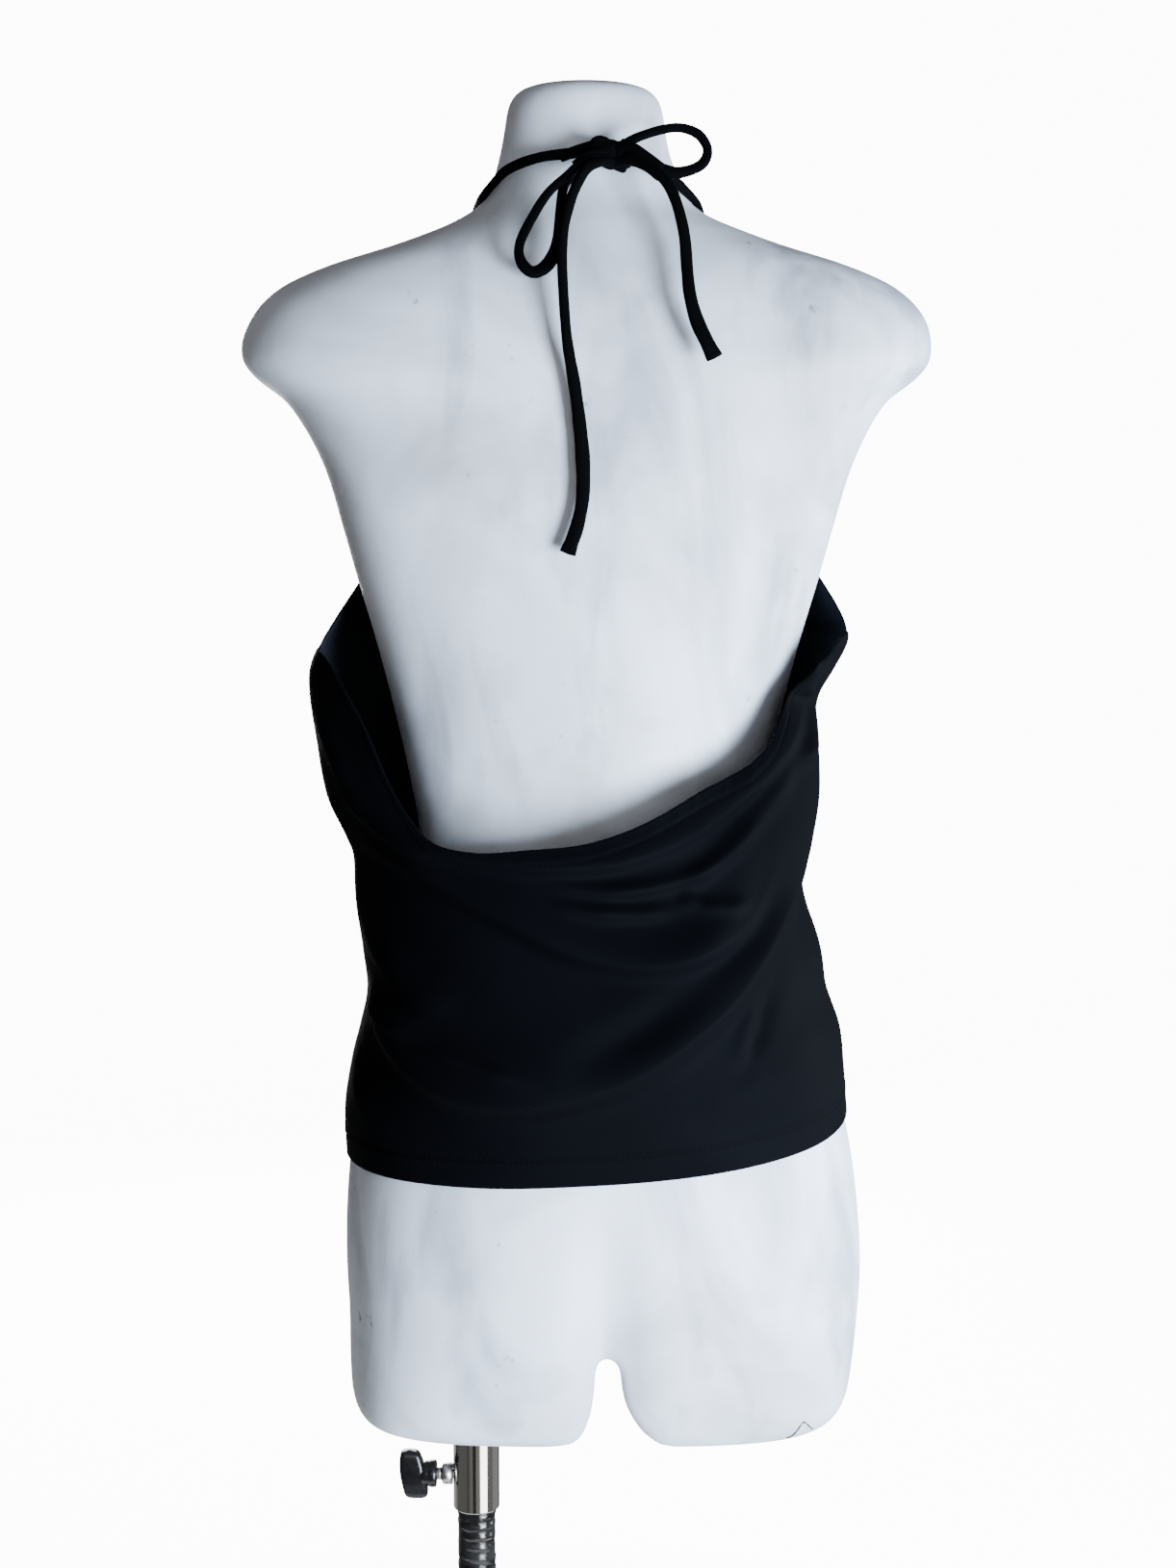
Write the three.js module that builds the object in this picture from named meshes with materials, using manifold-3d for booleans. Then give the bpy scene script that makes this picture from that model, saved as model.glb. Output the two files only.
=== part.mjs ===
// Halter neck top with a low, draped back, tied round a smooth limbless torso form on a pole stand.
// Millimetres, +Z up. The form faces +Y and its right side is towards +X.
// The origin is the centre of the base plate's underside, on the pole's axis.
import * as THREE from "three";
import { mergeVertices } from "three/addons/utils/BufferGeometryUtils.js";
import Module from "manifold-3d";

const wasm = await Module();
wasm.setup();

// ---------- driving dimensions ----------
const FORM_LIFT = 520; // floor to the level that the form's heights are taken from
const BODY_SHIFT = 73.5; // pole's axis to the form's middle plane
const CLOTH = 1.2; // wall of the jersey
const SEAM_GAP = 0.6; // between pieces that are sewn together
const REST_GAP = 2.5; // cloth to form, where the cloth rests on it
const CORD_R = 2.75; // tie cord
const CORD_SIDES = 8;
const CORD_GAP = 0.4; // cord to the knot it comes out of

const BASE_R = 170;
const BASE_H = 6;
const SOCKET_R = 20;
const SOCKET_H = 40;
const SEAT = 0.3; // between parts that are welded or stand on each other
const POLE_R = 11.5;
const POLE_WALL = 1.5;
const POLE_REACH = 110; // how far the pole runs up inside the form
const WRAP_R = 13; // film wound on the pole
const WRAP_LENGTH = 260;
const SLEEVE_R = 15.2;
const SLEEVE_WALL = 1.8;
const SLEEVE_DROP = 39; // sleeve below that level
const SLEEVE_REACH = 190; // sleeve above it, inside the form
const RUN_GAP = 0.4; // turned and sliding fits
const ROUND = 24; // sides of the metal rounds

const SCREW_DROP = 17; // clamp screw below it
const SCREW_R = 3;
const BOSS = { r: 7, length: 7 };
const KNOB = { hub: 9, hubLength: 8, bar: 31, barWidth: 14, barDepth: 17 };

// ---------- tables ----------
function table(columns, rows) {
  return rows.map((row) => Object.fromEntries(columns.map((name, i) => [name, row[i]])));
}

// A column of a table at any key, on one smooth curve through the rows.
function column(rows, key, name, at) {
  const last = rows.length - 1;
  if (at <= rows[0][key]) return rows[0][name];
  if (at >= rows[last][key]) return rows[last][name];
  const i = rows.findIndex((row) => row[key] > at) - 1;
  const slope = (j) => {
    const a = rows[Math.max(j - 1, 0)];
    const b = rows[Math.min(j + 1, last)];
    return (b[name] - a[name]) / (b[key] - a[key]);
  };
  const [a, b] = [rows[i], rows[i + 1]];
  const span = b[key] - a[key];
  const t = (at - a[key]) / span;
  return (
    (1 + 2 * t) * (1 - t) ** 2 * a[name] +
    t * (1 - t) ** 2 * span * slope(i) +
    t * t * (3 - 2 * t) * b[name] +
    t * t * (t - 1) * span * slope(i + 1)
  );
}

// The torso form's level sections: middle and half width across, depth to the front and to the back.
const FORM = table(["z", "middle", "half", "front", "back", "power"], [
  [30, 5, 128, 52, 64, 3.6],
  [33, 5.5, 143, 64, 77, 3.7],
  [39, 6.5, 153, 75, 89, 3.5],
  [50, 7.5, 159.5, 82, 98, 3.1],
  [70, 8.5, 162.5, 86, 105, 2.75],
  [104, 10, 164.5, 89, 111, 2.55],
  [133, 10, 166, 90, 115, 2.45],
  [172, 9, 164.5, 92, 116, 2.4],
  [212, 8, 160, 94, 112, 2.35],
  [262, 6, 150, 93, 100, 2.3],
  [312, 4, 137, 87, 84, 2.3],
  [360, 2, 117, 80, 70, 2.3],
  [405, 1, 108.5, 78, 66, 2.3],
  [449, 0, 114, 84, 70, 2.3],
  [498, 0, 125, 98, 78, 2.3],
  [535, 0, 134.5, 113, 85, 2.35],
  [571, 0, 145, 128, 90, 2.4],
  [600, 0, 153, 130, 94, 2.4],
  [643, 0, 166, 117, 98, 2.5],
  [679, -1, 186, 102, 97, 2.7],
  [691, -1, 202, 96, 96, 2.8],
  [702, -1, 212, 90, 94, 2.9],
  [714, -1, 213.5, 84, 91, 2.9],
  [726, 0, 210, 78, 88, 2.9],
  [738, 0, 202, 71, 84, 2.9],
  [750, 0, 187, 65, 79, 2.8],
  [762, 0, 159, 60, 73, 2.7],
  [773, 0, 124, 58, 67, 2.5],
  [785, 0, 92, 58, 60, 2.3],
  [791, -1, 79, 58, 56, 2.2],
  [798, -1, 68, 58, 52, 2.1],
  [805, -1, 62, 59, 49, 2.05],
  [815, -1, 58, 60, 46, 2],
  [830, -2, 53, 60, 43, 2],
  [845, -2, 50, 60, 41, 2],
  [858, -2, 48, 59, 39, 2],
  [866, -2, 44, 55, 35, 2],
  [871, -2, 36, 46, 27, 2],
  [874, -2, 20, 30, 12, 2],
]);
// Where the form's lower end parts in two: a rounded slot along Y, with a soft valley above it.
const PARTING = { x: 12, low: 30, top: 97, half: 7.5, left: 15, right: 36, valley: 12, reach: 130, spread: 18 };

// The top's level sections, from the hem to the neckline: reach to the left and right edge, the edges' own
// place in depth, the depth at the middle of the front and of the back, and how square the curve is. A root
// equal to the power makes a full round side; a smaller root lets the front lie flat out to its edge.
const TOP = table(["z", "left", "right", "edge", "front", "back", "power", "root"], [
  [200, 155, 170, 0, 118, 128, 2.3, 2.3],
  [236, 156, 166, 0, 117, 130, 2.3, 2.3],
  [262, 152, 164, 0, 116, 131, 2.3, 2.3],
  [287, 146, 161, 0, 115, 130, 2.3, 2.3],
  [312, 141, 152, 0, 114, 127, 2.3, 2.3],
  [337, 143.5, 148, 0, 114, 123, 2.3, 2.3],
  [374, 147.5, 137, 0, 114, 116, 2.3, 2.3],
  [399, 149, 140, 0, 115, 110, 2.3, 2.3],
  [412, 154, 142, 0, 116, 107, 2.3, 2.3],
  [436, 166, 145, 0, 118, 102, 2.3, 2.3],
  [473, 172.5, 144.5, 0, 124, 96, 2.3, 2.3],
  [498, 176, 148, 0, 128, 93, 2.3, 2.3],
  [515, 175.5, 156, 0, 130, 92, 2.3, 2.3],
  [532, 168, 164, 0, 132, 92, 2.3, 2.3],
  [545, 160, 162, 0, 133, 92, 2.3, 2.0],
  [571, 146, 150, 36, 134, 92, 2.3, 1.6],
  [600, 130, 132, 70, 134, 92, 2.3, 1.3],
  [650, 104, 104, 90, 121, 92, 2.2, 1.1],
  [700, 82, 82, 88, 101, 92, 2.1, 1],
  [745, 66, 66, 74, 80, 92, 2, 1],
  [768, 60, 60, 66, 72, 92, 2, 1],
]);
const HEM = { middle: 221, slope: 0.09, dip: 6 }; // the hem is level but for a slight tilt across
const UNDERARM = { middle: 532, slope: 0.03 }; // where the side seams end
const NECKLINE = { middle: 744.5, rise: 16 }; // the front's upper edge

// The draped upper edge of the back, from the left seam (-1) to the right seam (1).
const BACK_EDGE = table(["side", "z"], [
  [-1, 527],
  [-0.8, 523],
  [-0.68, 512],
  [-0.58, 486],
  [-0.5, 446],
  [-0.42, 418],
  [-0.3, 409],
  [-0.15, 411],
  [0, 415],
  [0.15, 426],
  [0.32, 445],
  [0.46, 459],
  [0.54, 474],
  [0.6, 496],
  [0.67, 522],
  [0.8, 534],
  [1, 537],
]);

// Swags of the back: each hangs from the left at one height to a lowest point and up to the right, stands
// out by its depth above its line, and tucks in below it over its lip.
const SWAGS = table(["low", "lowX", "left", "right", "depth", "body", "lip"], [
  [386, -20, 440, 470, 5, 14, 7],
  [330, 40, 405, 440, 7, 24, 9],
  [256, -60, 325, 455, 12, 46, 14],
]);
// Pleats that fan down the front from the gathered neckline: place across the neckline and at the bust.
const PLEATS = table(["neck", "bust", "height", "width"], [
  [-0.78, -0.6, 2.6, 0.1],
  [-0.47, -0.34, 3.4, 0.09],
  [-0.16, -0.13, 2.4, 0.08],
  [0.15, 0.1, 3.2, 0.09],
  [0.44, 0.3, 2.8, 0.08],
  [0.76, 0.58, 3.2, 0.1],
]);

// ---------- shapes ----------
const clamp01 = (t) => Math.min(1, Math.max(0, t));
const smooth = (t) => clamp01(t) ** 2 * (3 - 2 * clamp01(t));
const mix = (a, b, t) => a + (b - a) * t;
const bell = (t) => Math.exp(-t * t);

function geometry(points, faces) {
  const made = new THREE.BufferGeometry();
  made.setAttribute("position", new THREE.Float32BufferAttribute(points.flat(), 3));
  made.setIndex(faces.flat());
  made.computeVertexNormals();
  return made;
}

// A closed body through rings of equal length, from the lowest ring to the highest.
function loft(rings) {
  const n = rings[0].length;
  const points = rings.flat();
  const faces = [];
  for (let r = 0; r + 1 < rings.length; r++)
    for (let i = 0; i < n; i++) {
      const [a, b] = [r * n + i, r * n + ((i + 1) % n)];
      faces.push([a, b, b + n], [a, b + n, a + n]);
    }
  const cap = (ring, start, up) => {
    const centre = ring.reduce((s, p) => s.map((v, k) => v + p[k] / n), [0, 0, 0]);
    points.push(centre);
    for (let i = 0; i < n; i++) {
      const [a, b] = [start + i, start + ((i + 1) % n)];
      faces.push(up ? [a, b, points.length - 1] : [b, a, points.length - 1]);
    }
  };
  cap(rings[0], 0, false);
  cap(rings.at(-1), (rings.length - 1) * n, true);
  return geometry(points, faces);
}

// A wall of cloth: its outer face is place(u, v) for u and v from 0 to 1, and its inner face lies one
// thickness behind it.
function wall(place, across, up, thickness = CLOTH) {
  const step = 1e-3;
  const outer = [];
  const inner = [];
  for (let j = 0; j <= up; j++)
    for (let i = 0; i <= across; i++) {
      const [u, v] = [i / across, j / up];
      const at = (du, dv) => new THREE.Vector3(...place(clamp01(u + du), clamp01(v + dv)));
      const alongU = at(step, 0).sub(at(-step, 0));
      const alongV = at(0, step).sub(at(0, -step));
      const out = alongU.cross(alongV).normalize();
      const p = at(0, 0);
      outer.push(p.toArray());
      inner.push(p.addScaledVector(out, -thickness).toArray());
    }
  const row = across + 1;
  const back = outer.length;
  const faces = [];
  const quad = (a, b, c, d) => faces.push([a, b, c], [a, c, d]);
  for (let j = 0; j < up; j++)
    for (let i = 0; i < across; i++) {
      const a = j * row + i;
      quad(a, a + 1, a + row + 1, a + row);
      quad(back + a, back + a + row, back + a + row + 1, back + a + 1);
    }
  for (let i = 0; i < across; i++) {
    const top = up * row + i;
    quad(i, back + i, back + i + 1, i + 1);
    quad(top, top + 1, back + top + 1, back + top);
  }
  for (let j = 0; j < up; j++) {
    const [left, right] = [j * row, j * row + across];
    quad(left, left + row, back + left + row, back + left);
    quad(right, back + right, back + right + row, right + row);
  }
  return geometry([...outer, ...inner], faces);
}

// A solid for cutting and joining, from a closed geometry.
function solid(source) {
  const bare = source.clone();
  bare.deleteAttribute("normal");
  bare.deleteAttribute("uv");
  const merged = mergeVertices(bare, 1e-3);
  return new wasm.Manifold(
    new wasm.Mesh({
      numProp: 3,
      vertProperties: merged.attributes.position.array,
      triVerts: new Uint32Array(merged.index.array),
    }),
  );
}

function fromSolid(made) {
  const { vertProperties, triVerts } = made.getMesh();
  const cut = new THREE.BufferGeometry();
  cut.setAttribute("position", new THREE.BufferAttribute(vertProperties, 3));
  cut.setIndex(new THREE.BufferAttribute(triVerts, 1));
  cut.computeVertexNormals();
  return cut;
}

const rod = (radius, length, sides = ROUND) =>
  new THREE.CylinderGeometry(radius, radius, length, sides).rotateX(Math.PI / 2);

// A tube of wall standing on z = low.
function pipe(outer, inner, low, high) {
  const profile = [
    [inner, low],
    [outer, low],
    [outer, high],
    [inner, high],
    [inner, low],
  ].map(([r, z]) => new THREE.Vector2(r, z));
  return new THREE.LatheGeometry(profile, ROUND).rotateX(Math.PI / 2);
}

// ---------- the torso form ----------
function formSection(z) {
  const names = ["middle", "half", "front", "back", "power"];
  return Object.fromEntries(names.map((name) => [name, column(FORM, "z", name, z)]));
}

// Depth of the form's front surface, grown by a clearance, at a place across and a height.
function formFront(x, z, clear) {
  const s = formSection(z);
  const share = Math.abs((x - s.middle) / (s.half + clear));
  return share < 1 ? (s.front + clear) * (1 - share ** s.power) ** (1 / s.power) : -Infinity;
}

function formPoint(angle, z) {
  const s = formSection(z);
  const [c, d] = [Math.cos(angle), Math.sin(angle)];
  const x = s.middle + s.half * Math.sign(c) * Math.abs(c) ** (2 / s.power);
  const y = (d > 0 ? s.front : s.back) * Math.sign(d) * Math.abs(d) ** (2 / s.power);
  const fade = smooth(1 - (z - PARTING.top) / PARTING.reach);
  const valley = 1 - (PARTING.valley / s.back) * fade * bell((x - PARTING.x) / PARTING.spread);
  return [x, y * valley, z];
}

function slotBelow() {
  const { x, low, top, half, left, right } = PARTING;
  const edge = [-0.3, 0, 0.12, 0.25, 0.4, 0.6, 0.85];
  const side = (t, flare) => half + flare * (1 - t) ** 3; // half width at a share t of the slot's height
  const height = (t) => mix(low, top, t);
  const outline = [
    ...edge.map((t) => [x + side(t, right), height(t)]),
    [x + half * 0.7, height(0.96)],
    [x, top],
    [x - half * 0.7, height(0.96)],
    ...edge.map((t) => [x - side(t, left), height(t)]).reverse(),
  ];
  const shape = new THREE.Shape(outline.map((p) => new THREE.Vector2(...p)));
  return new THREE.ExtrudeGeometry(shape, { depth: 300, bevelEnabled: false })
    .rotateX(Math.PI / 2)
    .translate(0, 150, 0);
}

function torsoForm() {
  const sides = 36;
  const heights = [];
  FORM.forEach((row, i) => {
    heights.push(row.z);
    const next = FORM[i + 1];
    if (next && next.z - row.z > 45) heights.push((row.z + next.z) / 2);
  });
  const angles = Array.from({ length: sides }, (_, i) => (i / sides) * 2 * Math.PI);
  const body = loft(heights.map((z) => angles.map((a) => formPoint(a, z))));
  const bore = rod(SLEEVE_R + RUN_GAP, 2 * (SLEEVE_REACH + 5)).translate(-BODY_SHIFT, 0, 0);
  return fromSolid(solid(body).subtract(solid(slotBelow())).subtract(solid(bore)));
}

// ---------- the top ----------
function topSection(z) {
  const names = ["left", "right", "edge", "front", "back", "power", "root"];
  return Object.fromEntries(names.map((name) => [name, column(TOP, "z", name, z)]));
}

// The share of the section's depth at a place across, and that place in millimetres.
function acrossAt(section, side) {
  const x = Math.sin((side * Math.PI) / 2) * (side < 0 ? section.left : section.right);
  const share = Math.abs(Math.sin((side * Math.PI) / 2));
  return { x, round: (1 - share ** section.power) ** (1 / section.root) };
}

const hemZ = (side, dip) => HEM.middle + HEM.slope * 160 * side - dip * Math.cos((side * Math.PI) / 2);

function pleats(side, z, section) {
  const down = clamp01((NECKLINE.middle - z) / 180);
  const fade = smooth((z - 560) / 120);
  const here = PLEATS.map((p) => p.height * bell((side - mix(p.neck, p.bust, down)) / (p.width * (1 + down))));
  return (here.reduce((a, b) => a + b, 0) - 1) * fade * (section.root < 2 ? 1 : 0);
}

function frontPanel(u, v) {
  const side = 1 - 2 * u; // from the right edge to the left one, so that the wall faces forward
  const shoulder = 0.52; // share of the panel's height below the underarm
  const underarm = UNDERARM.middle + UNDERARM.slope * 160 * side;
  const neckline = NECKLINE.middle + NECKLINE.rise * side * side;
  const z =
    v < shoulder
      ? mix(hemZ(side, 0), underarm, v / shoulder)
      : mix(underarm, neckline, (v - shoulder) / (1 - shoulder));
  const s = topSection(z);
  const { x, round } = acrossAt(s, side);
  const hung = s.edge + (s.front - s.edge) * round + pleats(side, z, s);
  const resting = formFront(x, z, REST_GAP + CLOTH);
  return [x, Math.max(hung, resting) + SEAM_GAP / 2, z];
}

function swags(x, z) {
  return SWAGS.map((g) => {
    const away = x < g.lowX ? (g.lowX - x) / (g.lowX + 150) : (x - g.lowX) / (150 - g.lowX);
    const line = g.low + (x < g.lowX ? g.left - g.low : g.right - g.low) * away ** 1.9;
    const above = z - line;
    const shape = above > 0 ? bell(above / g.body) : bell(above / g.lip);
    return g.depth * shape * smooth((1.08 - away) / 0.4);
  }).reduce((a, b) => a + b, 0);
}

function backPanel(u, v) {
  const side = 2 * u - 1;
  const z = mix(hemZ(side, HEM.dip), column(BACK_EDGE, "side", "z", side), v);
  const s = topSection(z);
  const { x, round } = acrossAt(s, side);
  const y = s.edge - (s.back + s.edge) * round - swags(x, z) * round;
  return [x, y - SEAM_GAP / 2, z];
}

// ---------- the tie cord ----------
const KNOT = { at: [14, -56, 822], half: [14, 8, 9] };
const curve = (points) => new THREE.CatmullRomCurve3(points.map((p) => new THREE.Vector3(...p)));

function circle(radius, sides) {
  const turn = (i) => (i / sides) * 2 * Math.PI;
  const at = (i) => new THREE.Vector2(radius * Math.cos(turn(i)), radius * Math.sin(turn(i)));
  return Array.from({ length: sides }, (_, i) => at(i));
}

function tube(points, steps, radius = CORD_R, hollow = 0) {
  const shape = new THREE.Shape(circle(radius, CORD_SIDES));
  if (hollow) shape.holes.push(new THREE.Path(circle(hollow, CORD_SIDES).reverse()));
  return new THREE.ExtrudeGeometry(shape, { steps, bevelEnabled: false, extrudePath: curve(points) });
}

const knot = (grow) =>
  new THREE.SphereGeometry(1, 16, 10)
    .scale(...KNOT.half.map((r) => r + grow))
    .translate(...KNOT.at);

// A stretch of cord that comes out of the knot: what would lie inside the knot is cut away.
const fromKnot = (points, steps) => fromSolid(solid(tube(points, steps)).subtract(solid(knot(CORD_GAP))));

// From the knot round the left of the neck, through the casing, and round the right to the knot again.
const NECK_ROUTE = [
  [6, -53, 824],
  [-14, -53, 823],
  [-36, -47, 820],
  [-50, -37, 815],
  [-60, -27, 809],
  [-67, -14, 804],
  [-74, 4, 800],
  [-77, 24, 795],
  [-76, 44, 787],
  [-70, 61, 776],
  [-58, 70, 766],
  [-39, 76, 758],
  [-19, 79, 753],
  [0, 80, 751],
  [19, 79, 753],
  [39, 76, 758],
  [58, 70, 766],
  [70, 61, 776],
  [76, 44, 787],
  [77, 24, 795],
  [74, 2, 800],
  [65, -20, 807],
  [54, -35, 812],
  [43, -44, 818],
  [31, -50, 822],
  [20, -53, 824],
];
const CASING_ROUTE = NECK_ROUTE.slice(10, 17);

const LOOP_RIGHT = [
  [18, -59, 827],
  [30, -60, 831],
  [45, -58, 836],
  [56, -56, 837],
  [66, -56, 833],
  [71, -57, 824],
  [67, -60, 815],
  [54, -62, 811],
  [41, -62, 813],
  [29, -60, 818],
  [18, -57, 821],
];
const LOOP_LEFT = [
  [4, -60, 824],
  [-7, -66, 812],
  [-23, -74, 797],
  [-34, -81, 779],
  [-40, -86, 765],
  [-39, -90, 755],
  [-33, -91, 749],
  [-26, -90, 751],
  [-20, -87, 759],
  [-17, -82, 770],
  [-16, -75, 787],
  [-13, -64, 804],
  [2, -55, 817],
];
const END_LEFT = [
  [10, -60, 820],
  [0, -70, 812],
  [-7, -76, 800],
  [-11, -83, 788],
  [-14, -90, 774],
  [-15, -95, 756],
  [-14, -101, 732],
  [-12, -104, 708],
  [-8, -105, 684],
  [-5, -105, 662],
  [-3, -105, 640],
  [-3, -104, 620],
  [-6, -103, 603],
  [-12, -101, 586],
];
const END_RIGHT = [
  [14, -57, 818],
  [22, -66, 814],
  [31, -70, 811],
  [40, -74, 806],
  [47, -78, 798],
  [53, -82, 784],
  [56, -88, 768],
  [57, -95, 750],
  [59, -102, 734],
  [63, -106, 719],
  [69, -109, 706],
  [73, -110, 698],
];

// ---------- the stand ----------
const sleeveInner = SLEEVE_R - SLEEVE_WALL;
const poleTop = FORM_LIFT + POLE_REACH;
const wrapTop = FORM_LIFT - SLEEVE_DROP - 1;

function sleeveWithHole() {
  const shell = solid(pipe(SLEEVE_R, sleeveInner, -SLEEVE_DROP, SLEEVE_REACH));
  const hole = rod(SCREW_R + RUN_GAP, 2 * SLEEVE_R, 16).rotateY(Math.PI / 2);
  hole.translate(-SLEEVE_R, 0, -SCREW_DROP);
  return fromSolid(shell.subtract(solid(hole)));
}

// Along -X, starting at a distance from the pole's axis.
const sideways = (made, start, length) =>
  made.rotateY(Math.PI / 2).translate(-start - length / 2, 0, -SCREW_DROP);

function clampBoss() {
  const ring = pipe(BOSS.r, SCREW_R + RUN_GAP, -BOSS.length / 2, BOSS.length / 2);
  return sideways(ring, SLEEVE_R + RUN_GAP, BOSS.length);
}

const screwTip = WRAP_R + RUN_GAP;
const knobFace = SLEEVE_R + BOSS.length + 4;

function clampKnob() {
  const hub = solid(sideways(rod(KNOB.hub, KNOB.hubLength, 24), knobFace, KNOB.hubLength));
  const half = KNOB.bar / 2 - KNOB.barWidth / 2;
  const outline = new THREE.Shape();
  outline.absarc(half, 0, KNOB.barWidth / 2, -Math.PI / 2, Math.PI / 2, false);
  outline.absarc(-half, 0, KNOB.barWidth / 2, Math.PI / 2, 1.5 * Math.PI, false);
  const bar = new THREE.ExtrudeGeometry(outline, {
    depth: KNOB.barDepth,
    bevelEnabled: false,
    curveSegments: 8,
  })
    .rotateY(-Math.PI / 2)
    .translate(-knobFace - KNOB.hubLength + 1, 0, -SCREW_DROP);
  const screwLength = knobFace - screwTip + 1;
  const screw = solid(sideways(rod(SCREW_R, screwLength, 16), screwTip, screwLength));
  return fromSolid(hub.add(solid(bar)).add(screw));
}

// ---------- assembly ----------
const finish = (color, roughness, metalness = 0) =>
  new THREE.MeshStandardMaterial({ color, roughness, metalness });
const JERSEY = finish(0x0a0b10, 0.55);
const FORM_WHITE = finish(0xdfe1e6, 0.5);
const CHROME = finish(0xb8b8b8, 0.15, 1);
const FILM = finish(0x2a2a2c, 0.3);
const BLACK_PLASTIC = finish(0x101010, 0.35);
const STEEL = finish(0xa5a7a9, 0.35, 1);

function piece(name, shape, material) {
  const mesh = new THREE.Mesh(shape, material);
  mesh.name = name;
  return mesh;
}

const dressed = new THREE.Group(); // the form and what it wears
dressed.position.set(BODY_SHIFT, 0, FORM_LIFT);
dressed.add(
  piece("torso_form", torsoForm(), FORM_WHITE),
  piece("front_panel", wall(frontPanel, 26, 25), JERSEY),
  piece("back_panel", wall(backPanel, 32, 17), JERSEY),
  piece("neck_casing", tube(CASING_ROUTE, 12, CORD_R + 3, CORD_R + 1.2), JERSEY),
  piece("neck_cord", fromKnot(NECK_ROUTE, 52), JERSEY),
  piece("bow_knot", knot(0), JERSEY),
  piece("bow_loop_right", fromKnot(LOOP_RIGHT, 22), JERSEY),
  piece("bow_loop_left", fromKnot(LOOP_LEFT, 24), JERSEY),
  piece("tie_end_left", fromKnot(END_LEFT, 26), JERSEY),
  piece("tie_end_right", fromKnot(END_RIGHT, 17), JERSEY),
);

const clamp = new THREE.Group(); // the fitting in the form's lower end
clamp.position.set(0, 0, FORM_LIFT);
clamp.add(
  piece("pole_sleeve", sleeveWithHole(), CHROME),
  piece("clamp_boss", clampBoss(), CHROME),
  piece("clamp_knob", clampKnob(), BLACK_PLASTIC),
);

const stand = new THREE.Group();
stand.add(
  piece("base_plate", rod(BASE_R, BASE_H, 48).translate(0, 0, BASE_H / 2), STEEL),
  piece("base_socket", pipe(SOCKET_R, POLE_R + RUN_GAP, BASE_H + SEAT, BASE_H + SOCKET_H), STEEL),
  piece("pole", pipe(POLE_R, POLE_R - POLE_WALL, BASE_H + RUN_GAP, poleTop), CHROME),
  piece("pole_wrap", pipe(WRAP_R, POLE_R + RUN_GAP, wrapTop - WRAP_LENGTH, wrapTop), FILM),
);

const part = new THREE.Group();
part.add(stand, clamp, dressed);

export default part;
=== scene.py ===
"""Halter neck top with a draped back, tied on a limbless dress form on a pole stand.

Sizes are in millimetres in the torso's own frame (its lower end at zero, its middle plane at x = 0)
and turn into metres in the row's frame when a mesh is made.
"""
import math

import bmesh
import bpy
import numpy as np
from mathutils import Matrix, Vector


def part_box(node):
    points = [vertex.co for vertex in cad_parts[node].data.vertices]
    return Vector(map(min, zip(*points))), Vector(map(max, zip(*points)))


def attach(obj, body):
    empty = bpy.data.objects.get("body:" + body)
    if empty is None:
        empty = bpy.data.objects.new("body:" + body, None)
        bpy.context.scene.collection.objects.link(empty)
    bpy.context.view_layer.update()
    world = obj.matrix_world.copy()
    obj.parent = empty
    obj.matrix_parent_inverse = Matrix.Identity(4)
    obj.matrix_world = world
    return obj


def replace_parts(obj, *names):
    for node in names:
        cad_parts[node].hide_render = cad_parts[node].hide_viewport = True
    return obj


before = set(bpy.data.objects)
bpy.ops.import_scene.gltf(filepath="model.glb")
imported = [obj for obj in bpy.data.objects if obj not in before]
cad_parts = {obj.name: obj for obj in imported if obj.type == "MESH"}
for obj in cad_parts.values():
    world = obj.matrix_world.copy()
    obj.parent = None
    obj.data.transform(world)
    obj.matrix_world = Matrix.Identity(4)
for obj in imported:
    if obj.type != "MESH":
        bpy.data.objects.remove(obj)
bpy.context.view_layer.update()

# ---------- where the torso stands ----------
FORM_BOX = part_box("torso_form")
BODY_SHIFT = 73.5  # pole's axis to the torso's middle plane
FORM_LOW = 30.0  # the form's lower end above the level its heights are taken from
FORM_LIFT = FORM_BOX[0][2] * 1000 - FORM_LOW
ORIGIN = np.array([BODY_SHIFT, 0.0, FORM_LIFT])
DRESSED = "dressed_form"

# ---------- cloth ----------
JERSEY = 0.9  # thickness of one layer
REST = 1.6  # cloth to form, where it rests
TURNED_MORE = 0.7  # how much thicker the cloth is where it is turned, as a share of one layer
HEM_DEPTH = 17.0  # turned hem at the bottom
HEM_ROWS = (14.2, 17.4)  # two rows of stitches above the hem's edge
EDGE_DEPTH = 9.0  # turned edges at the armholes and along the back
SEAM_GAP = 0.3
CORD_WIDTH = 6.6
CORD_FLAT = 4.6  # thickness of the pressed cord
CORD_STEP = 1.6  # spacing of the points along a cord
CASING_OUTER = 5.6
CASING_INNER = 4.4

# ---------- stand ----------
FORM_BORE = 16.2
FORM_BORE_TOP = 196.0
POLE_BORE = 10.0
SOCKET_BORE = 11.9
SLEEVE_BORE = 13.4
# The film's inner and thinnest radius, rise of one turn, height of its lap and its creases
FILM = {"inner": 11.75, "thin": 12.05, "turn": 17.0, "lap": 0.3, "crease": 0.62}
SCREW_BORE = 3.5
SCREW_RADIUS = 3.0
WING_OVER = 0.7  # how far the wing's rounded ends pass its plain solid

# The open slot between the form's two lower ends, and the valley that runs up from it
PARTING = {"x": 12.0, "low": 30.0, "top": 97.0, "half": 7.5, "left": 15.0, "right": 36.0,
           "valley": 12.0, "reach": 130.0, "spread": 18.0}

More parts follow.
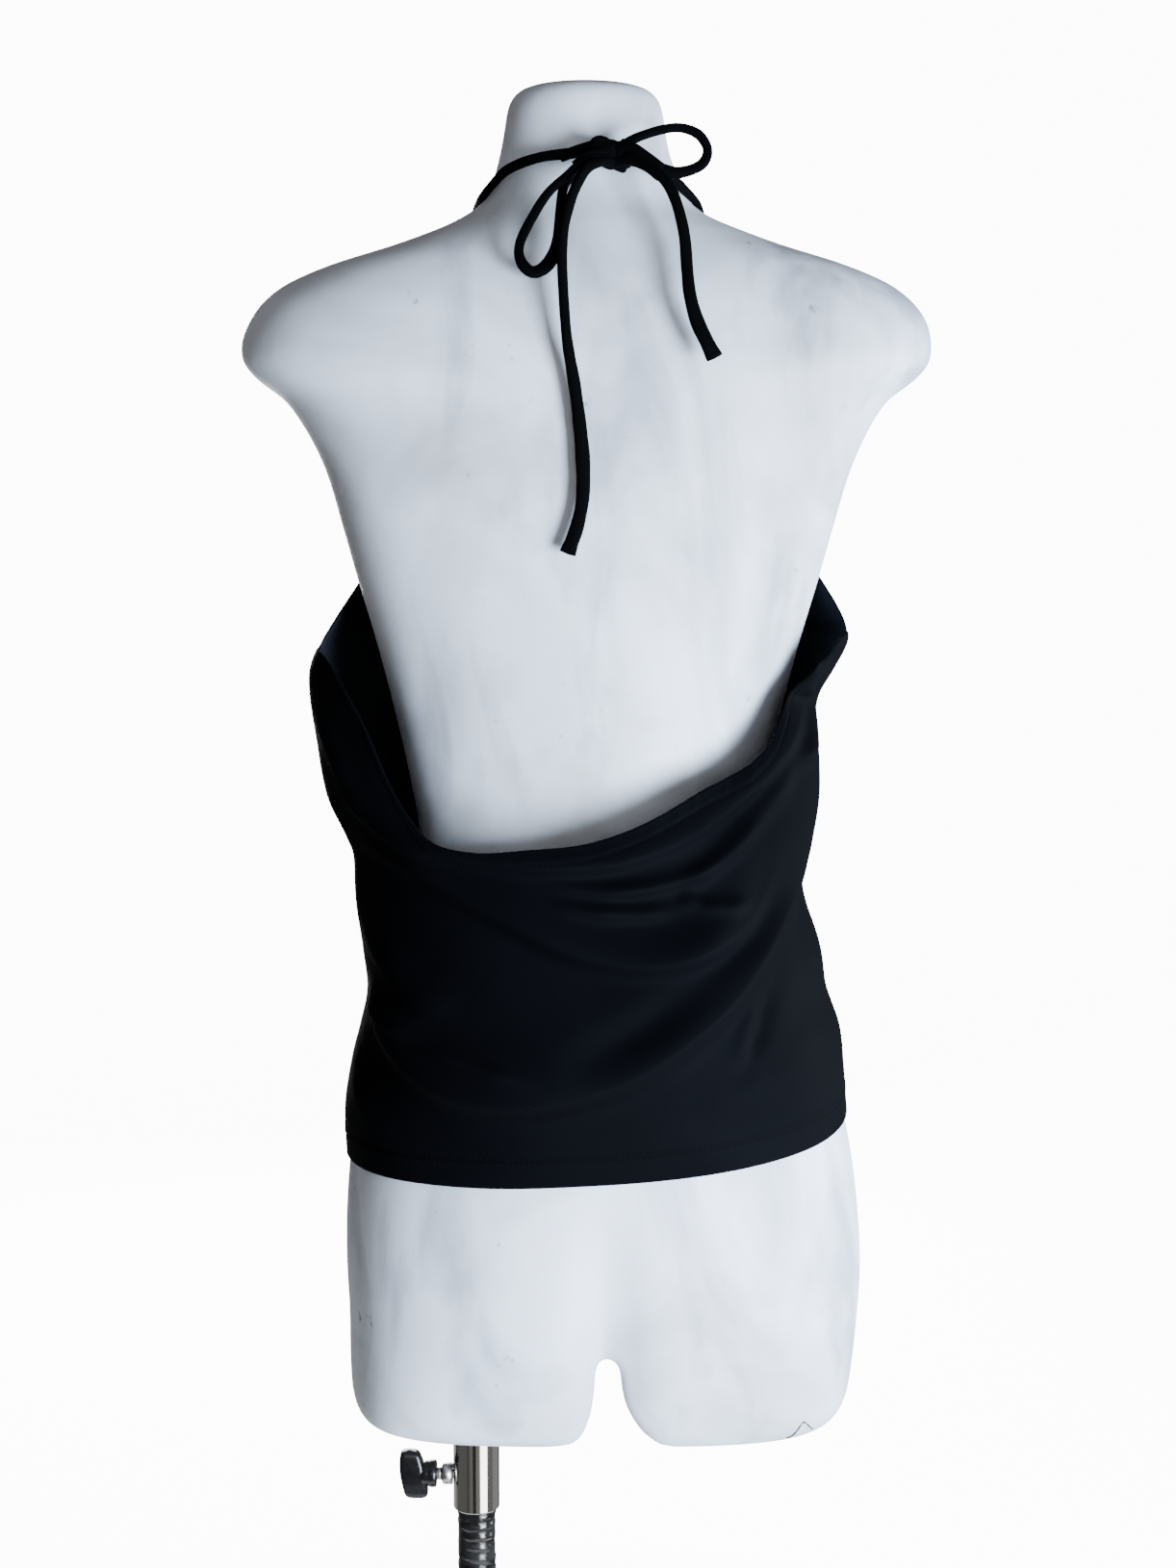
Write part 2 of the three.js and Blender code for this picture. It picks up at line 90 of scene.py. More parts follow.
# z, middle, half, front, back, power: level sections of the form
FORM = np.array([
    [30, 5, 128, 52, 64, 3.6],
    [33, 5.5, 143, 64, 77, 3.7],
    [39, 6.5, 153, 75, 89, 3.5],
    [50, 7.5, 159.5, 82, 98, 3.1],
    [70, 8.5, 162.5, 86, 105, 2.75],
    [104, 10, 164.5, 89, 111, 2.55],
    [133, 10, 166, 90, 115, 2.45],
    [172, 9, 164.5, 92, 116, 2.4],
    [212, 8, 160, 94, 112, 2.35],
    [262, 6, 150, 93, 100, 2.3],
    [312, 4, 137, 87, 84, 2.3],
    [360, 2, 117, 80, 70, 2.3],
    [405, 1, 108.5, 78, 66, 2.3],
    [449, 0, 114, 84, 70, 2.3],
    [498, 0, 125, 98, 78, 2.3],
    [535, 0, 134.5, 113, 85, 2.35],
    [571, 0, 145, 128, 90, 2.4],
    [600, 0, 153, 130, 94, 2.4],
    [643, 0, 166, 117, 98, 2.5],
    [679, -1, 186, 102, 97, 2.7],
    [691, -1, 202, 96, 96, 2.8],
    [702, -1, 212, 90, 94, 2.9],
    [714, -1, 213.5, 84, 91, 2.9],
    [726, 0, 210, 78, 88, 2.9],
    [738, 0, 202, 71, 84, 2.9],
    [750, 0, 187, 65, 79, 2.8],
    [762, 0, 159, 60, 73, 2.7],
    [773, 0, 124, 58, 67, 2.5],
    [785, 0, 92, 58, 60, 2.3],
    [791, -1, 79, 58, 56, 2.2],
    [798, -1, 68, 58, 52, 2.1],
    [805, -1, 62, 59, 49, 2.05],
    [815, -1, 58, 60, 46, 2],
    [830, -2, 53, 60, 43, 2],
    [845, -2, 50, 60, 41, 2],
    [858, -2, 48, 59, 39, 2],
    [866, -2, 44, 55, 35, 2],
    [871, -2, 36, 46, 27, 2],
    [874, -2, 20, 30, 12, 2],
])

# z, left, right, edge, front, back, power, root: level sections of the top
TOP = np.array([
    [200, 155, 170, 0, 118, 128, 2.3, 2.3],
    [236, 156, 166, 0, 117, 130, 2.3, 2.3],
    [262, 152, 164, 0, 116, 131, 2.3, 2.3],
    [287, 146, 161, 0, 115, 130, 2.3, 2.3],
    [312, 141, 152, 0, 114, 127, 2.3, 2.3],
    [337, 143.5, 148, 0, 114, 123, 2.3, 2.3],
    [374, 147.5, 137, 0, 114, 116, 2.3, 2.3],
    [399, 149, 137.5, 0, 115, 110, 2.3, 2.3],
    [412, 154, 139, 0, 116, 107, 2.3, 2.3],
    [436, 166, 141.5, 0, 118, 102, 2.3, 2.3],
    [473, 172.5, 141.5, 0, 124, 96, 2.3, 2.3],
    [498, 176, 146, 0, 128, 93, 2.3, 2.3],
    [515, 175.5, 156, 0, 130, 92, 2.3, 2.3],
    [532, 168, 164, 0, 132, 92, 2.3, 2.3],
    [545, 160, 162, 0, 133, 92, 2.3, 2.0],
    [571, 146, 150, 36, 134, 92, 2.3, 1.6],
    [600, 130, 132, 70, 134, 92, 2.3, 1.3],
    [650, 104, 104, 90, 121, 92, 2.2, 1.1],
    [700, 82, 82, 88, 101, 92, 2.1, 1],
    [745, 66, 66, 74, 80, 92, 2, 1],
    [768, 60, 60, 66, 72, 92, 2, 1],
])
HEM = {"middle": 221.0, "slope": 0.09, "dip": 6.0}
UNDERARM = {"middle": 532.0, "slope": 0.03}
NECKLINE = {"middle": 744.5, "rise": 16.0}

# side, z: the draped upper edge of the back
BACK_EDGE = np.array([
    [-1, 527], [-0.8, 523], [-0.68, 512], [-0.58, 486], [-0.5, 446], [-0.42, 418], [-0.3, 409],
    [-0.15, 411], [0, 415], [0.15, 426], [0.32, 445], [0.46, 459], [0.54, 474], [0.6, 496],
    [0.67, 522], [0.8, 534], [1, 537],
])


# ---------- curves ----------
def column(rows, k, at):
    """Column k of a table at any key, on one smooth curve through its rows."""
    keys, values = rows[:, 0], rows[:, k]
    slopes = np.empty(len(keys))
    slopes[1:-1] = (values[2:] - values[:-2]) / (keys[2:] - keys[:-2])
    slopes[0] = (values[1] - values[0]) / (keys[1] - keys[0])
    slopes[-1] = (values[-1] - values[-2]) / (keys[-1] - keys[-2])
    at = np.clip(np.asarray(at, float), keys[0], keys[-1])
    i = np.clip(np.searchsorted(keys, at, side="right") - 1, 0, len(keys) - 2)
    span = keys[i + 1] - keys[i]
    t = (at - keys[i]) / span
    return ((1 + 2 * t) * (1 - t) ** 2 * values[i] + t * (1 - t) ** 2 * span * slopes[i]
            + t * t * (3 - 2 * t) * values[i + 1] + t * t * (t - 1) * span * slopes[i + 1])


def smooth(t):
    t = np.clip(t, 0, 1)
    return t * t * (3 - 2 * t)


def bell(t):
    return np.exp(-np.square(t))


def route(points, step):
    """A smooth curve through points, as points at an even step."""
    p = np.array(points, float)
    ends = np.vstack([2 * p[0] - p[1], p, 2 * p[-1] - p[-2]])
    fine = []
    for a, b, c, d in zip(ends[:-3], ends[1:-2], ends[2:-1], ends[3:]):
        t = np.linspace(0, 1, 24, endpoint=False)[:, None]
        fine.append(0.5 * (2 * b + (c - a) * t + (2 * a - 5 * b + 4 * c - d) * t ** 2
                           + (3 * b - a - 3 * c + d) * t ** 3))
    fine = np.vstack(fine + [p[-1:]])
    along = np.concatenate([[0], np.cumsum(np.linalg.norm(np.diff(fine, axis=0), axis=1))])
    count = max(3, int(round(along[-1] / step)) + 1)
    want = np.linspace(0, along[-1], count)
    return np.stack([np.interp(want, along, fine[:, k]) for k in range(p.shape[1])], axis=1)


def waves(x, z, seed, scale):
    """A soft uneven surface from a few slanted waves; the same on every run."""
    pick = np.random.default_rng(seed)
    total = 0
    for _ in range(7):
        turn, phase = pick.uniform(0, 2 * math.pi, 2)
        size = scale * pick.uniform(0.6, 1.7)
        total = total + np.sin((x * math.cos(turn) + z * math.sin(turn)) * 2 * math.pi / size + phase)
    return total / 7


# ---------- meshes ----------
def put(name, points, faces, look=None):
    """A smooth mesh object from points in metres."""
    mesh = bpy.data.meshes.new(name)
    mesh.from_pydata(points, [], faces)
    mesh.polygons.foreach_set("use_smooth", [True] * len(mesh.polygons))
    if look:
        mesh.materials.append(look)
    made = bpy.data.objects.new(name, mesh)
    bpy.context.scene.collection.objects.link(made)
    return made


def in_metres(points):
    """Points of the torso's frame in millimetres, in the row's frame in metres."""
    return ((np.asarray(points, float) + ORIGIN) / 1000).tolist()


def make(name, points, faces, look, slot, body):
    piece = put(name, in_metres(points), faces, look)
    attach(piece, body)
    return piece


def grid_faces(rows, columns, start=0, ring=False, flip=False):
    """Four-sided faces of a grid of points, with its columns joined up where it is a ring."""
    faces = []
    for j in range(rows - 1):
        for i in range(columns if ring else columns - 1):
            a, b = j * columns + i, j * columns + (i + 1) % columns
            face = [start + a, start + b, start + b + columns, start + a + columns]
            faces.append(face[::-1] if flip else face)
    return faces


def pipe_faces(rows, sides, flip=False):
    """Faces of a pipe from its outer rings of points, its inner rings and its two end rims."""
    count = rows * sides
    faces = grid_faces(rows, sides, ring=True, flip=flip)
    faces += grid_faces(rows, sides, count, ring=True, flip=not flip)
    for row in (0, rows - 1):
        for i in range(sides):
            a, b = row * sides + i, row * sides + (i + 1) % sides
            face = [a, a + count, b + count, b]
            faces.append(face if (row == 0) != flip else face[::-1])
    return faces


def moved(faces, start):
    return [[start + i for i in face] for face in faces]


def normals(grid):
    """Outward normals of a grid of points."""
    along = np.gradient(grid, axis=1)
    up = np.gradient(grid, axis=0)
    n = np.cross(along, up)
    return n / np.maximum(np.linalg.norm(n, axis=2, keepdims=True), 1e-9)


def shell(outer, thickness):
    """A closed thin wall behind a grid of points, with a rounded rim."""
    rows, columns = outer.shape[:2]
    n = normals(outer)
    inner = outer - n * thickness[..., None]
    count = rows * columns
    points = np.vstack([outer.reshape(-1, 3), inner.reshape(-1, 3)])
    faces = grid_faces(rows, columns) + grid_faces(rows, columns, count, flip=True)
    rim = ([i for i in range(columns)]
           + [j * columns + columns - 1 for j in range(1, rows)]
           + [(rows - 1) * columns + i for i in range(columns - 2, -1, -1)]
           + [j * columns for j in range(rows - 2, 0, -1)])
    flat = np.array(rim)
    middle = (points[flat] + points[flat + count]) / 2
    centre = np.roll(middle, 1, axis=0) - np.roll(middle, -1, axis=0)
    out = np.cross(centre, n.reshape(-1, 3)[flat])
    out /= np.maximum(np.linalg.norm(out, axis=1, keepdims=True), 1e-9)
    lip = middle - out * (thickness.reshape(-1)[flat] / 2)[:, None]
    start = len(points)
    points = np.vstack([points, lip])
    for k, a in enumerate(rim):
        m = (k + 1) % len(rim)
        b = rim[m]
        faces.append([a, start + k, start + m, b])
        faces.append([start + k, a + count, b + count, start + m])
    return points, faces


def directions(centre, normal):
    """The directions along a path, across it, and out from it towards the normals."""
    tangent = np.gradient(centre, axis=0)
    tangent /= np.linalg.norm(tangent, axis=1, keepdims=True)
    across = np.cross(tangent, normal)
    across /= np.linalg.norm(across, axis=1, keepdims=True)
    return tangent, across, np.cross(across, tangent)


def sweep(centre, normal, widths, thicks, sides=14, power=2.6):
    """A soft flat tube along a route; its flat side faces along the normals."""
    tangent, across, out = directions(centre, normal)
    angle = np.arange(sides) / sides * 2 * math.pi
    c, s = np.cos(angle), np.sin(angle)
    ring_a = np.sign(c) * np.abs(c) ** (2 / power)
    ring_b = np.sign(s) * np.abs(s) ** (2 / power)
    points = (centre[:, None] + across[:, None] * (ring_a[None, :, None] * widths[:, None, None] / 2)
              + out[:, None] * (ring_b[None, :, None] * thicks[:, None, None] / 2))
    count = len(centre)
    faces = grid_faces(count, sides, ring=True)
    flat = points.reshape(-1, 3)
    flat = np.vstack([flat, centre[:1] - tangent[:1] * 0.5, centre[-1:] + tangent[-1:] * 0.5])
    for i in range(sides):
        j = (i + 1) % sides
        faces.append([j, i, count * sides])
        faces.append([(count - 1) * sides + i, (count - 1) * sides + j, count * sides + 1])
    return flat, faces


def turned(profile, sides=96, axis_x=0.0):
    """Points and faces of a closed profile of (radius, z) turned about an upright axis."""
    p = np.array(profile, float)
    angle = np.arange(sides) / sides * 2 * math.pi
    points = np.stack([
        axis_x + p[:, :1] * np.cos(angle)[None],
        p[:, :1] * np.sin(angle)[None],
        np.repeat(p[:, 1:], sides, axis=1)], axis=2)
    faces = grid_faces(len(p), sides, ring=True)
    last = (len(p) - 1) * sides
    faces += [[last + i, last + (i + 1) % sides, (i + 1) % sides, i] for i in range(sides)]
    return points.reshape(-1, 3), faces


# ---------- materials ----------
def set_inputs(node, values):
    """Values that are the same all over, set on the node's own sockets."""
    for name, value in values.items():
        node.inputs[name].default_value = value


def material(name, color, roughness, metallic=0.0):
    made = bpy.data.materials.new(name)
    made.use_nodes = True
    shader = made.node_tree.nodes["Principled BSDF"]
    set_inputs(shader, {"Base Color": (*color, 1), "Roughness": roughness, "Metallic": metallic})
    return made, made.node_tree, shader


def noise_node(tree, scale, detail=3.0, stretch=(1, 1, 1), distortion=0.0):
    place = tree.nodes.new("ShaderNodeTexCoord")
    mapping = tree.nodes.new("ShaderNodeMapping")
    mapping.inputs["Scale"].default_value = stretch
    made = tree.nodes.new("ShaderNodeTexNoise")
    set_inputs(made, {"Scale": scale, "Detail": detail, "Distortion": distortion})
    tree.links.new(place.outputs["Object"], mapping.inputs["Vector"])
    tree.links.new(mapping.outputs["Vector"], made.inputs["Vector"])
    return made.outputs["Fac"]


def ramp_node(tree, factor, low, high, stops=(0.35, 0.65)):
    ramp = tree.nodes.new("ShaderNodeValToRGB")
    for element, stop, color in zip(ramp.color_ramp.elements, stops, (low, high)):
        element.position = stop
        element.color = (*color, 1)
    tree.links.new(factor, ramp.inputs["Fac"])
    return ramp.outputs["Color"]


def multiply_node(tree, first, second):
    mix = tree.nodes.new("ShaderNodeMix")
    mix.data_type = "RGBA"
    mix.blend_type = "MULTIPLY"
    mix.inputs["Factor"].default_value = 1
    tree.links.new(first, mix.inputs["A"])
    tree.links.new(second, mix.inputs["B"])
    return mix.outputs["Result"]


def range_node(tree, factor, low, high, start=0.3, end=0.7):
    made = tree.nodes.new("ShaderNodeMapRange")
    set_inputs(made, {"From Min": start, "From Max": end, "To Min": low, "To Max": high})
    tree.links.new(factor, made.inputs["Value"])
    return made.outputs["Result"]


def bump_node(tree, shader, height, strength, distance):
    bump = tree.nodes.new("ShaderNodeBump")
    set_inputs(bump, {"Strength": strength, "Distance": distance})
    tree.links.new(height, bump.inputs["Height"])
    tree.links.new(bump.outputs["Normal"], shader.inputs["Normal"])


def jersey_material(name, color, gloss):
    made, tree, shader = material(name, color, 0.6)
    tint = ramp_node(tree, noise_node(tree, 9, 2), color, [c * 1.35 for c in color])
    tree.links.new(tint, shader.inputs["Base Color"])
    tree.links.new(range_node(tree, noise_node(tree, 14, 3), 0.7, 0.8), shader.inputs["Roughness"])
    set_inputs(shader, {"Sheen Weight": 0.0015, "Sheen Roughness": 0.4, "Sheen Tint": (0.55, 0.68, 1, 1),
                        "Specular IOR Level": gloss, "Specular Tint": (0.72, 0.82, 1, 1)})
    bump_node(tree, shader, noise_node(tree, 1700, 1, (1, 1, 0.45)), 0.2, 0.0002)
    return made


def form_material():
    made, tree, shader = material("form_shell", (0.78, 0.8, 0.86), 0.5)
    cloudy = ramp_node(tree, noise_node(tree, 7.5, 6, distortion=0.5),
                       (0.36, 0.38, 0.43), (0.7, 0.765, 0.9), (0.27, 0.55))
    streaks = ramp_node(tree, noise_node(tree, 11, 5, (1, 1, 0.35), 1.2),
                        (0.62, 0.62, 0.65), (1, 1, 1), (0.33, 0.47))
    specks = ramp_node(tree, noise_node(tree, 80, 3), (0.4, 0.4, 0.42), (1, 1, 1), (0.2, 0.29))
    worn = multiply_node(tree, multiply_node(tree, cloudy, streaks), specks)
    tree.links.new(worn, shader.inputs["Base Color"])
    tree.links.new(range_node(tree, noise_node(tree, 22, 4), 0.46, 0.62), shader.inputs["Roughness"])
    bump_node(tree, shader, noise_node(tree, 60, 4), 0.12, 0.0012)
    return made


def chrome_material(name, color, rough=(0.07, 0.16), grain=(1, 1, 0.05)):
    made, tree, shader = material(name, color, rough[0], 1.0)
    marks = noise_node(tree, 240, 3, grain)
    tree.links.new(range_node(tree, marks, *rough), shader.inputs["Roughness"])
    bump_node(tree, shader, marks, 0.03, 0.0002)
    return made


def film_material():
    made, tree, shader = material("pole_film", (0.02, 0.02, 0.022), 0.25)
    tint = ramp_node(tree, noise_node(tree, 60, 4, (1, 1, 3)),
                     (0.002, 0.002, 0.002), (0.013, 0.013, 0.0135))
    tree.links.new(tint, shader.inputs["Base Color"])
    rough = range_node(tree, noise_node(tree, 120, 3, (1, 1, 2)), 0.1, 0.24)
    tree.links.new(rough, shader.inputs["Roughness"])
    shader.inputs["Specular IOR Level"].default_value = 0.45
    bump_node(tree, shader, noise_node(tree, 260, 4, (1, 1, 3)), 0.35, 0.0006)
    return made


def knob_material():
    made, tree, shader = material("knob_plastic", (0.004, 0.004, 0.0045), 0.3)
    tree.links.new(range_node(tree, noise_node(tree, 300, 3), 0.16, 0.26), shader.inputs["Roughness"])
    shader.inputs["Specular IOR Level"].default_value = 0.32
    bump_node(tree, shader, noise_node(tree, 900, 2), 0.1, 0.0002)
    return made


def thread_material():
    made, tree, shader = material("stitch_thread", (0.001, 0.0011, 0.0015), 0.8)
    shader.inputs["Specular IOR Level"].default_value = 0.05
    bump_node(tree, shader, noise_node(tree, 3000, 1), 0.3, 0.0001)
    return made


JERSEY_MATERIAL = jersey_material("satin_jersey", (0.001, 0.0011, 0.0017), 0.026)
CORD_MATERIAL = jersey_material("cord_jersey", (0.0008, 0.0008, 0.001), 0.02)
# A much paler jersey for the front panel's inside: painted light, standing in for the fill that the form keeps
# from it.
PAINTED_FILL_MATERIAL = jersey_material("jersey_inside_painted_fill", (0.014, 0.0155, 0.021), 0.03)
THREAD_MATERIAL = thread_material()
FORM_MATERIAL = form_material()
CHROME_MATERIAL = chrome_material("polished_chrome", (0.5, 0.49, 0.475), (0.05, 0.12))
BASE_MATERIAL = chrome_material("brushed_steel", (0.5, 0.5, 0.51), (0.24, 0.38), (1, 0.04, 1))
TURNED_MATERIAL = chrome_material("turned_steel", (0.4, 0.385, 0.37), (0.24, 0.34))
FILM_MATERIAL = film_material()
KNOB_MATERIAL = knob_material()

# ---------- camera ----------
CAMERA_BEHIND = 1.4  # metres from the form's middle
CAMERA_OVER_FORM = 0.5869
CAMERA_PITCH = 6.0
CAMERA_LENS = 50.7
camera_data = bpy.data.cameras.new("camera")
camera_data.sensor_width = 36
camera_data.lens = CAMERA_LENS
camera = bpy.data.objects.new("camera", camera_data)
camera.location = (BODY_SHIFT / 1000, -CAMERA_BEHIND, FORM_LIFT / 1000 + CAMERA_OVER_FORM)
camera.rotation_euler = (math.radians(90 - CAMERA_PITCH), 0, 0)
bpy.context.scene.collection.objects.link(camera)
bpy.context.scene.camera = camera

# ---------- the tie cord ----------
NECK_ROUTE = [
    [8, -54, 824], [-8, -54, 823], [-30, -49, 821], [-48, -39, 816], [-58, -27, 809], [-64.5, -14, 804],
    [-68.5, 3, 801], [-72, 22, 796], [-74, 42, 788], [-70, 61, 776], [-58, 70, 766], [-39, 76, 758],
    [-19, 79, 753], [0, 80, 751], [19, 79, 753], [39, 76, 758], [58, 70, 766], [70, 61, 776],
    [74, 42, 788], [72, 22, 796], [68, 2, 801.5], [59.5, -20, 806.5], [51, -35, 811], [42, -45, 815],
    [32, -51, 820], [21, -54, 823],
]
CASING_ROUTE = NECK_ROUTE[10:17]
LOOP_RIGHT = [
    [20, -60, 826], [30, -61, 831], [45, -58, 836], [56, -56, 837], [66, -56, 833], [71, -57, 824],
    [67, -60, 815], [54, -63, 810], [43, -64, 812], [32, -63, 818], [20, -59, 821],
]
LOOP_LEFT = [
    [4, -60, 824], [-7, -66, 812], [-23, -74, 797], [-34, -81, 779], [-40, -86, 765], [-39, -90, 755],
    [-33, -91, 749], [-26, -90, 751], [-20, -87, 759], [-17, -82, 770], [-16, -75, 787],
    [-13, -64, 804], [2, -55, 817],
]
END_LEFT = [
    [10, -60, 820], [0, -70, 812], [-7, -76, 800], [-11, -83, 788], [-14, -90, 774], [-15, -95, 756],
    [-14, -101, 732], [-12, -104, 708], [-8, -105, 684], [-5, -105, 662], [-3, -105, 640],
    [-3, -104, 620], [-6, -103, 603], [-12, -101, 586],
]
END_RIGHT = [
    [16, -58, 818], [23, -66, 819], [31, -70, 815.5], [39, -74, 809.5], [46, -78, 802], [50.5, -81, 793],
    [54, -85, 781], [56.5, -89, 767], [57.5, -95, 750], [59, -102, 734], [63, -106, 719], [69, -109, 706],
    [73, -110, 698],
]
KNOT_AT = np.array([19.0, -57.0, 821.0])


def cord(name, points, facing, width, thick, node, square_end=False):
    """A stretch of the tie. Its width and thickness go by the share along it, its facing also by the point."""
    path = route(points, CORD_STEP)
    share = np.linspace(0, 1, len(path))
    normal = np.array([facing(t, p) for t, p in zip(share, path)], float)
    along = share * len(path)
    wobble = 1 + 0.035 * np.sin(along * 0.19 + len(path)) + 0.02 * np.sin(along * 0.47)
    widths = np.array([width(t) for t in share]) * wobble
    thicks = np.array([thick(t) for t in share]) * (2 - wobble)
    if square_end:
        near = np.clip((share[-1] - share) * len(path) * CORD_STEP / 9, 0, 1)
        widths = widths * (1 + 0.16 * smooth(1 - near))
        thicks = thicks * (1 - 0.25 * smooth(1 - near))
    mesh_points, faces = sweep(path, normal, widths, thicks)
    piece = make(name, mesh_points, faces, CORD_MATERIAL, "jersey", DRESSED)
    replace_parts(piece, node)
    return piece


def round_neck(t, p):
    return (p[0], p[1] - 12, 0.001)


def knot_cloth():
    """The bow's knot: crossing strands drawn together under two wound turns."""
    strands = []
    turn = np.linspace(0, 2 * math.pi, 60)
    for shift, lean, reach, wide in ((-5.5, 2.2, 6.8, 9.0), (2.0, 2.8, 7.6, 9.5), (6.0, 2.4, 5.0, 6.0)):
        ring = np.stack([KNOT_AT[0] + shift + lean * np.sin(turn),
                         KNOT_AT[1] - reach * np.cos(turn),
                         KNOT_AT[2] - 0.1 * shift + (reach - 0.6) * np.sin(turn)], axis=1)
        strands.append((ring, ring - (KNOT_AT + [shift, 0, 0]), wide, 4.2))
    for ends, wide in (
            ([[-16, -52, 821], [-6, -57, 824], [6, -62, 826], [16, -64, 824]], 6.4),
            ([[-13, -69, 806.5], [-6, -67, 813], [3, -65, 818], [14, -64, 819]], 5.6),
            ([[-3, -72, 808], [2, -69, 813], [9, -66, 816], [17, -64, 816]], 5.6),
            ([[-8, -64, 814], [0, -64, 820], [10, -64, 822], [20, -62, 820]], 5.2),
            ([[1, -58, 825], [5, -62, 829], [10, -62, 828.5], [16, -60, 824]], 4.6),
            ([[14, -62, 825], [25, -67, 824], [34, -70, 818], [43, -72, 811]], 6.6),
            ([[16, -64, 816], [26, -68, 816], [35, -71, 812], [42, -74, 806]], 6.2)):
        path = route(ends, CORD_STEP)
        strands.append((path, np.tile([0, -1, 0.15], (len(path), 1)), wide, 4.8))
    points, faces = [], []
    start = 0
    for path, normal, width, thick in strands:
        strand, made = sweep(path, normal, np.full(len(path), width), np.full(len(path), thick))
        points.append(strand)
        faces += moved(made, start)
        start += len(strand)
    return make("bow_knot_cloth", np.vstack(points), faces, CORD_MATERIAL, "jersey", DRESSED)


knot = knot_cloth()
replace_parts(knot, "bow_knot")
cord("neck_tie", NECK_ROUTE, round_neck,
     lambda t: CORD_WIDTH - 0.9 * bell((abs(t - 0.5) - 0.3) / 0.1), lambda t: 4.0,
     "neck_cord")
cord("loop_right", LOOP_RIGHT, lambda t, p: (0.1, -1, 0.1),
     lambda t: 5.6 + 1.8 * bell((t - 0.75) / 0.2), lambda t: CORD_FLAT,
     "bow_loop_right")
cord("loop_left", LOOP_LEFT, lambda t, p: (-0.2, -1, 0.3),
     lambda t: 5.3 + 2.9 * bell((t - 0.62) / 0.16), lambda t: CORD_FLAT,
     "bow_loop_left")
cord("tail_left", END_LEFT, lambda t, p: (0.9 * (1 - smooth((t - 0.35) / 0.3)), -1, 0.2),
     lambda t: 6.2 + 2.0 * smooth((t - 0.45) / 0.3), lambda t: CORD_FLAT - 0.6 * smooth((t - 0.45) / 0.3),
     "tie_end_left", square_end=True)
cord("tail_right", END_RIGHT, lambda t, p: (0.5 * (1 - t), -1, 0.3),
     lambda t: 6.8 + 1.7 * smooth((t - 0.5) / 0.4), lambda t: CORD_FLAT,
     "tie_end_right", square_end=True)


# ---------- the dress form ----------
def form_points(z, angle):
    middle, half, front, back, power = (column(FORM, k, z) for k in range(1, 6))
    c, d = np.cos(angle), np.sin(angle)
    x = middle + half * np.sign(c) * np.abs(c) ** (2 / power)
    y = np.where(d > 0, front, back) * np.sign(d) * np.abs(d) ** (2 / power)
    fade = smooth(1 - (z - PARTING["top"]) / PARTING["reach"])
    y = y * (1 - PARTING["valley"] / back * fade * bell((x - PARTING["x"]) / PARTING["spread"]))
    return np.stack([x, y, z + 0 * x], axis=-1)


def form_depth(x, z, clear, side):
    """How far the form reaches to the back or the front at a place across and a height."""
    middle, half, depth, power = (column(FORM, k, z) for k in (1, 2, 4 if side < 0 else 3, 5))
    share = np.minimum(np.abs((x - middle) / (half + clear)), 1)
    inside = (1 - share ** power) ** (1 / power)
    return np.where(share < 1, (depth + clear) * inside, -1e3)


def block(name, points, faces):
    """A cutter: a closed solid whose faces are turned outward."""
    made = put(name, in_metres(points), faces)
    shape = bmesh.new()
    shape.from_mesh(made.data)
    bmesh.ops.recalc_face_normals(shape, faces=shape.faces)
    shape.to_mesh(made.data)
    shape.free()
    return made


def parting_cutter():
    """The open slot between the form's two lower ends."""
    rise = np.array([-0.35, 0, 0.08, 0.16, 0.26, 0.38, 0.52, 0.68, 0.84])
    tall = PARTING["top"] - PARTING["low"]
    heights = PARTING["low"] + rise * tall
    right = list(zip(PARTING["x"] + PARTING["half"] + PARTING["right"] * (1 - rise) ** 3, heights))
    left = list(zip(PARTING["x"] - PARTING["half"] - PARTING["left"] * (1 - rise) ** 3, heights))
    crown = [(PARTING["x"] + PARTING["half"] * math.cos(a), PARTING["top"] - tall * 0.1 * (1 - math.sin(a)))
             for a in np.linspace(0.3, math.pi - 0.3, 7)]
    outline = right + crown + left[::-1]
    n = len(outline)
    points = [(x, y, z) for y in (-160, 160) for x, z in outline]
    faces = [[i, (i + 1) % n, n + (i + 1) % n, n + i] for i in range(n)]
    faces += [list(range(n))[::-1], list(range(n, 2 * n))]
    return block("parting_cutter", points, faces)


def bore_cutter():
    profile = [(0.01, -40), (FORM_BORE, -40), (FORM_BORE, FORM_BORE_TOP), (0.01, FORM_BORE_TOP)]
    points, faces = turned(profile, 48, -BODY_SHIFT)
    return block("bore_cutter", points, faces)


def dress_form():
    z = np.unique(np.concatenate([np.linspace(FORM_LOW, 60, 18), np.linspace(60, 850, 186),
                                  np.linspace(850, 874, 16)]))
    angle = np.arange(144) / 144 * 2 * math.pi
    grid = form_points(z[:, None], angle[None, :])
    points = np.vstack([grid.reshape(-1, 3), [[7, -6, FORM_LOW], [-2, 8, 874.6]]])
    sides = len(angle)
    faces = grid_faces(len(z), sides, ring=True)
    last = (len(z) - 1) * sides
    for i in range(sides):
        j = (i + 1) % sides
        faces.append([j, i, len(points) - 2])
        faces.append([last + i, last + j, len(points) - 1])
    piece = make("form_shell", points, faces, FORM_MATERIAL, "form_white", DRESSED)
    cutters = [parting_cutter(), bore_cutter()]
    for cutter in cutters:
        cut = piece.modifiers.new(cutter.name, "BOOLEAN")
        cut.operation = "DIFFERENCE"
        cut.solver = "EXACT"
        cut.object = cutter
    remesh = piece.modifiers.new("even", "REMESH")
    remesh.mode = "VOXEL"
    remesh.voxel_size = 0.0031
    settle = piece.modifiers.new("settle", "SMOOTH")
    settle.factor = 0.5
    settle.iterations = 12
    apply_modifiers(piece)
    for cutter in cutters:
        bpy.data.objects.remove(cutter)
    return piece


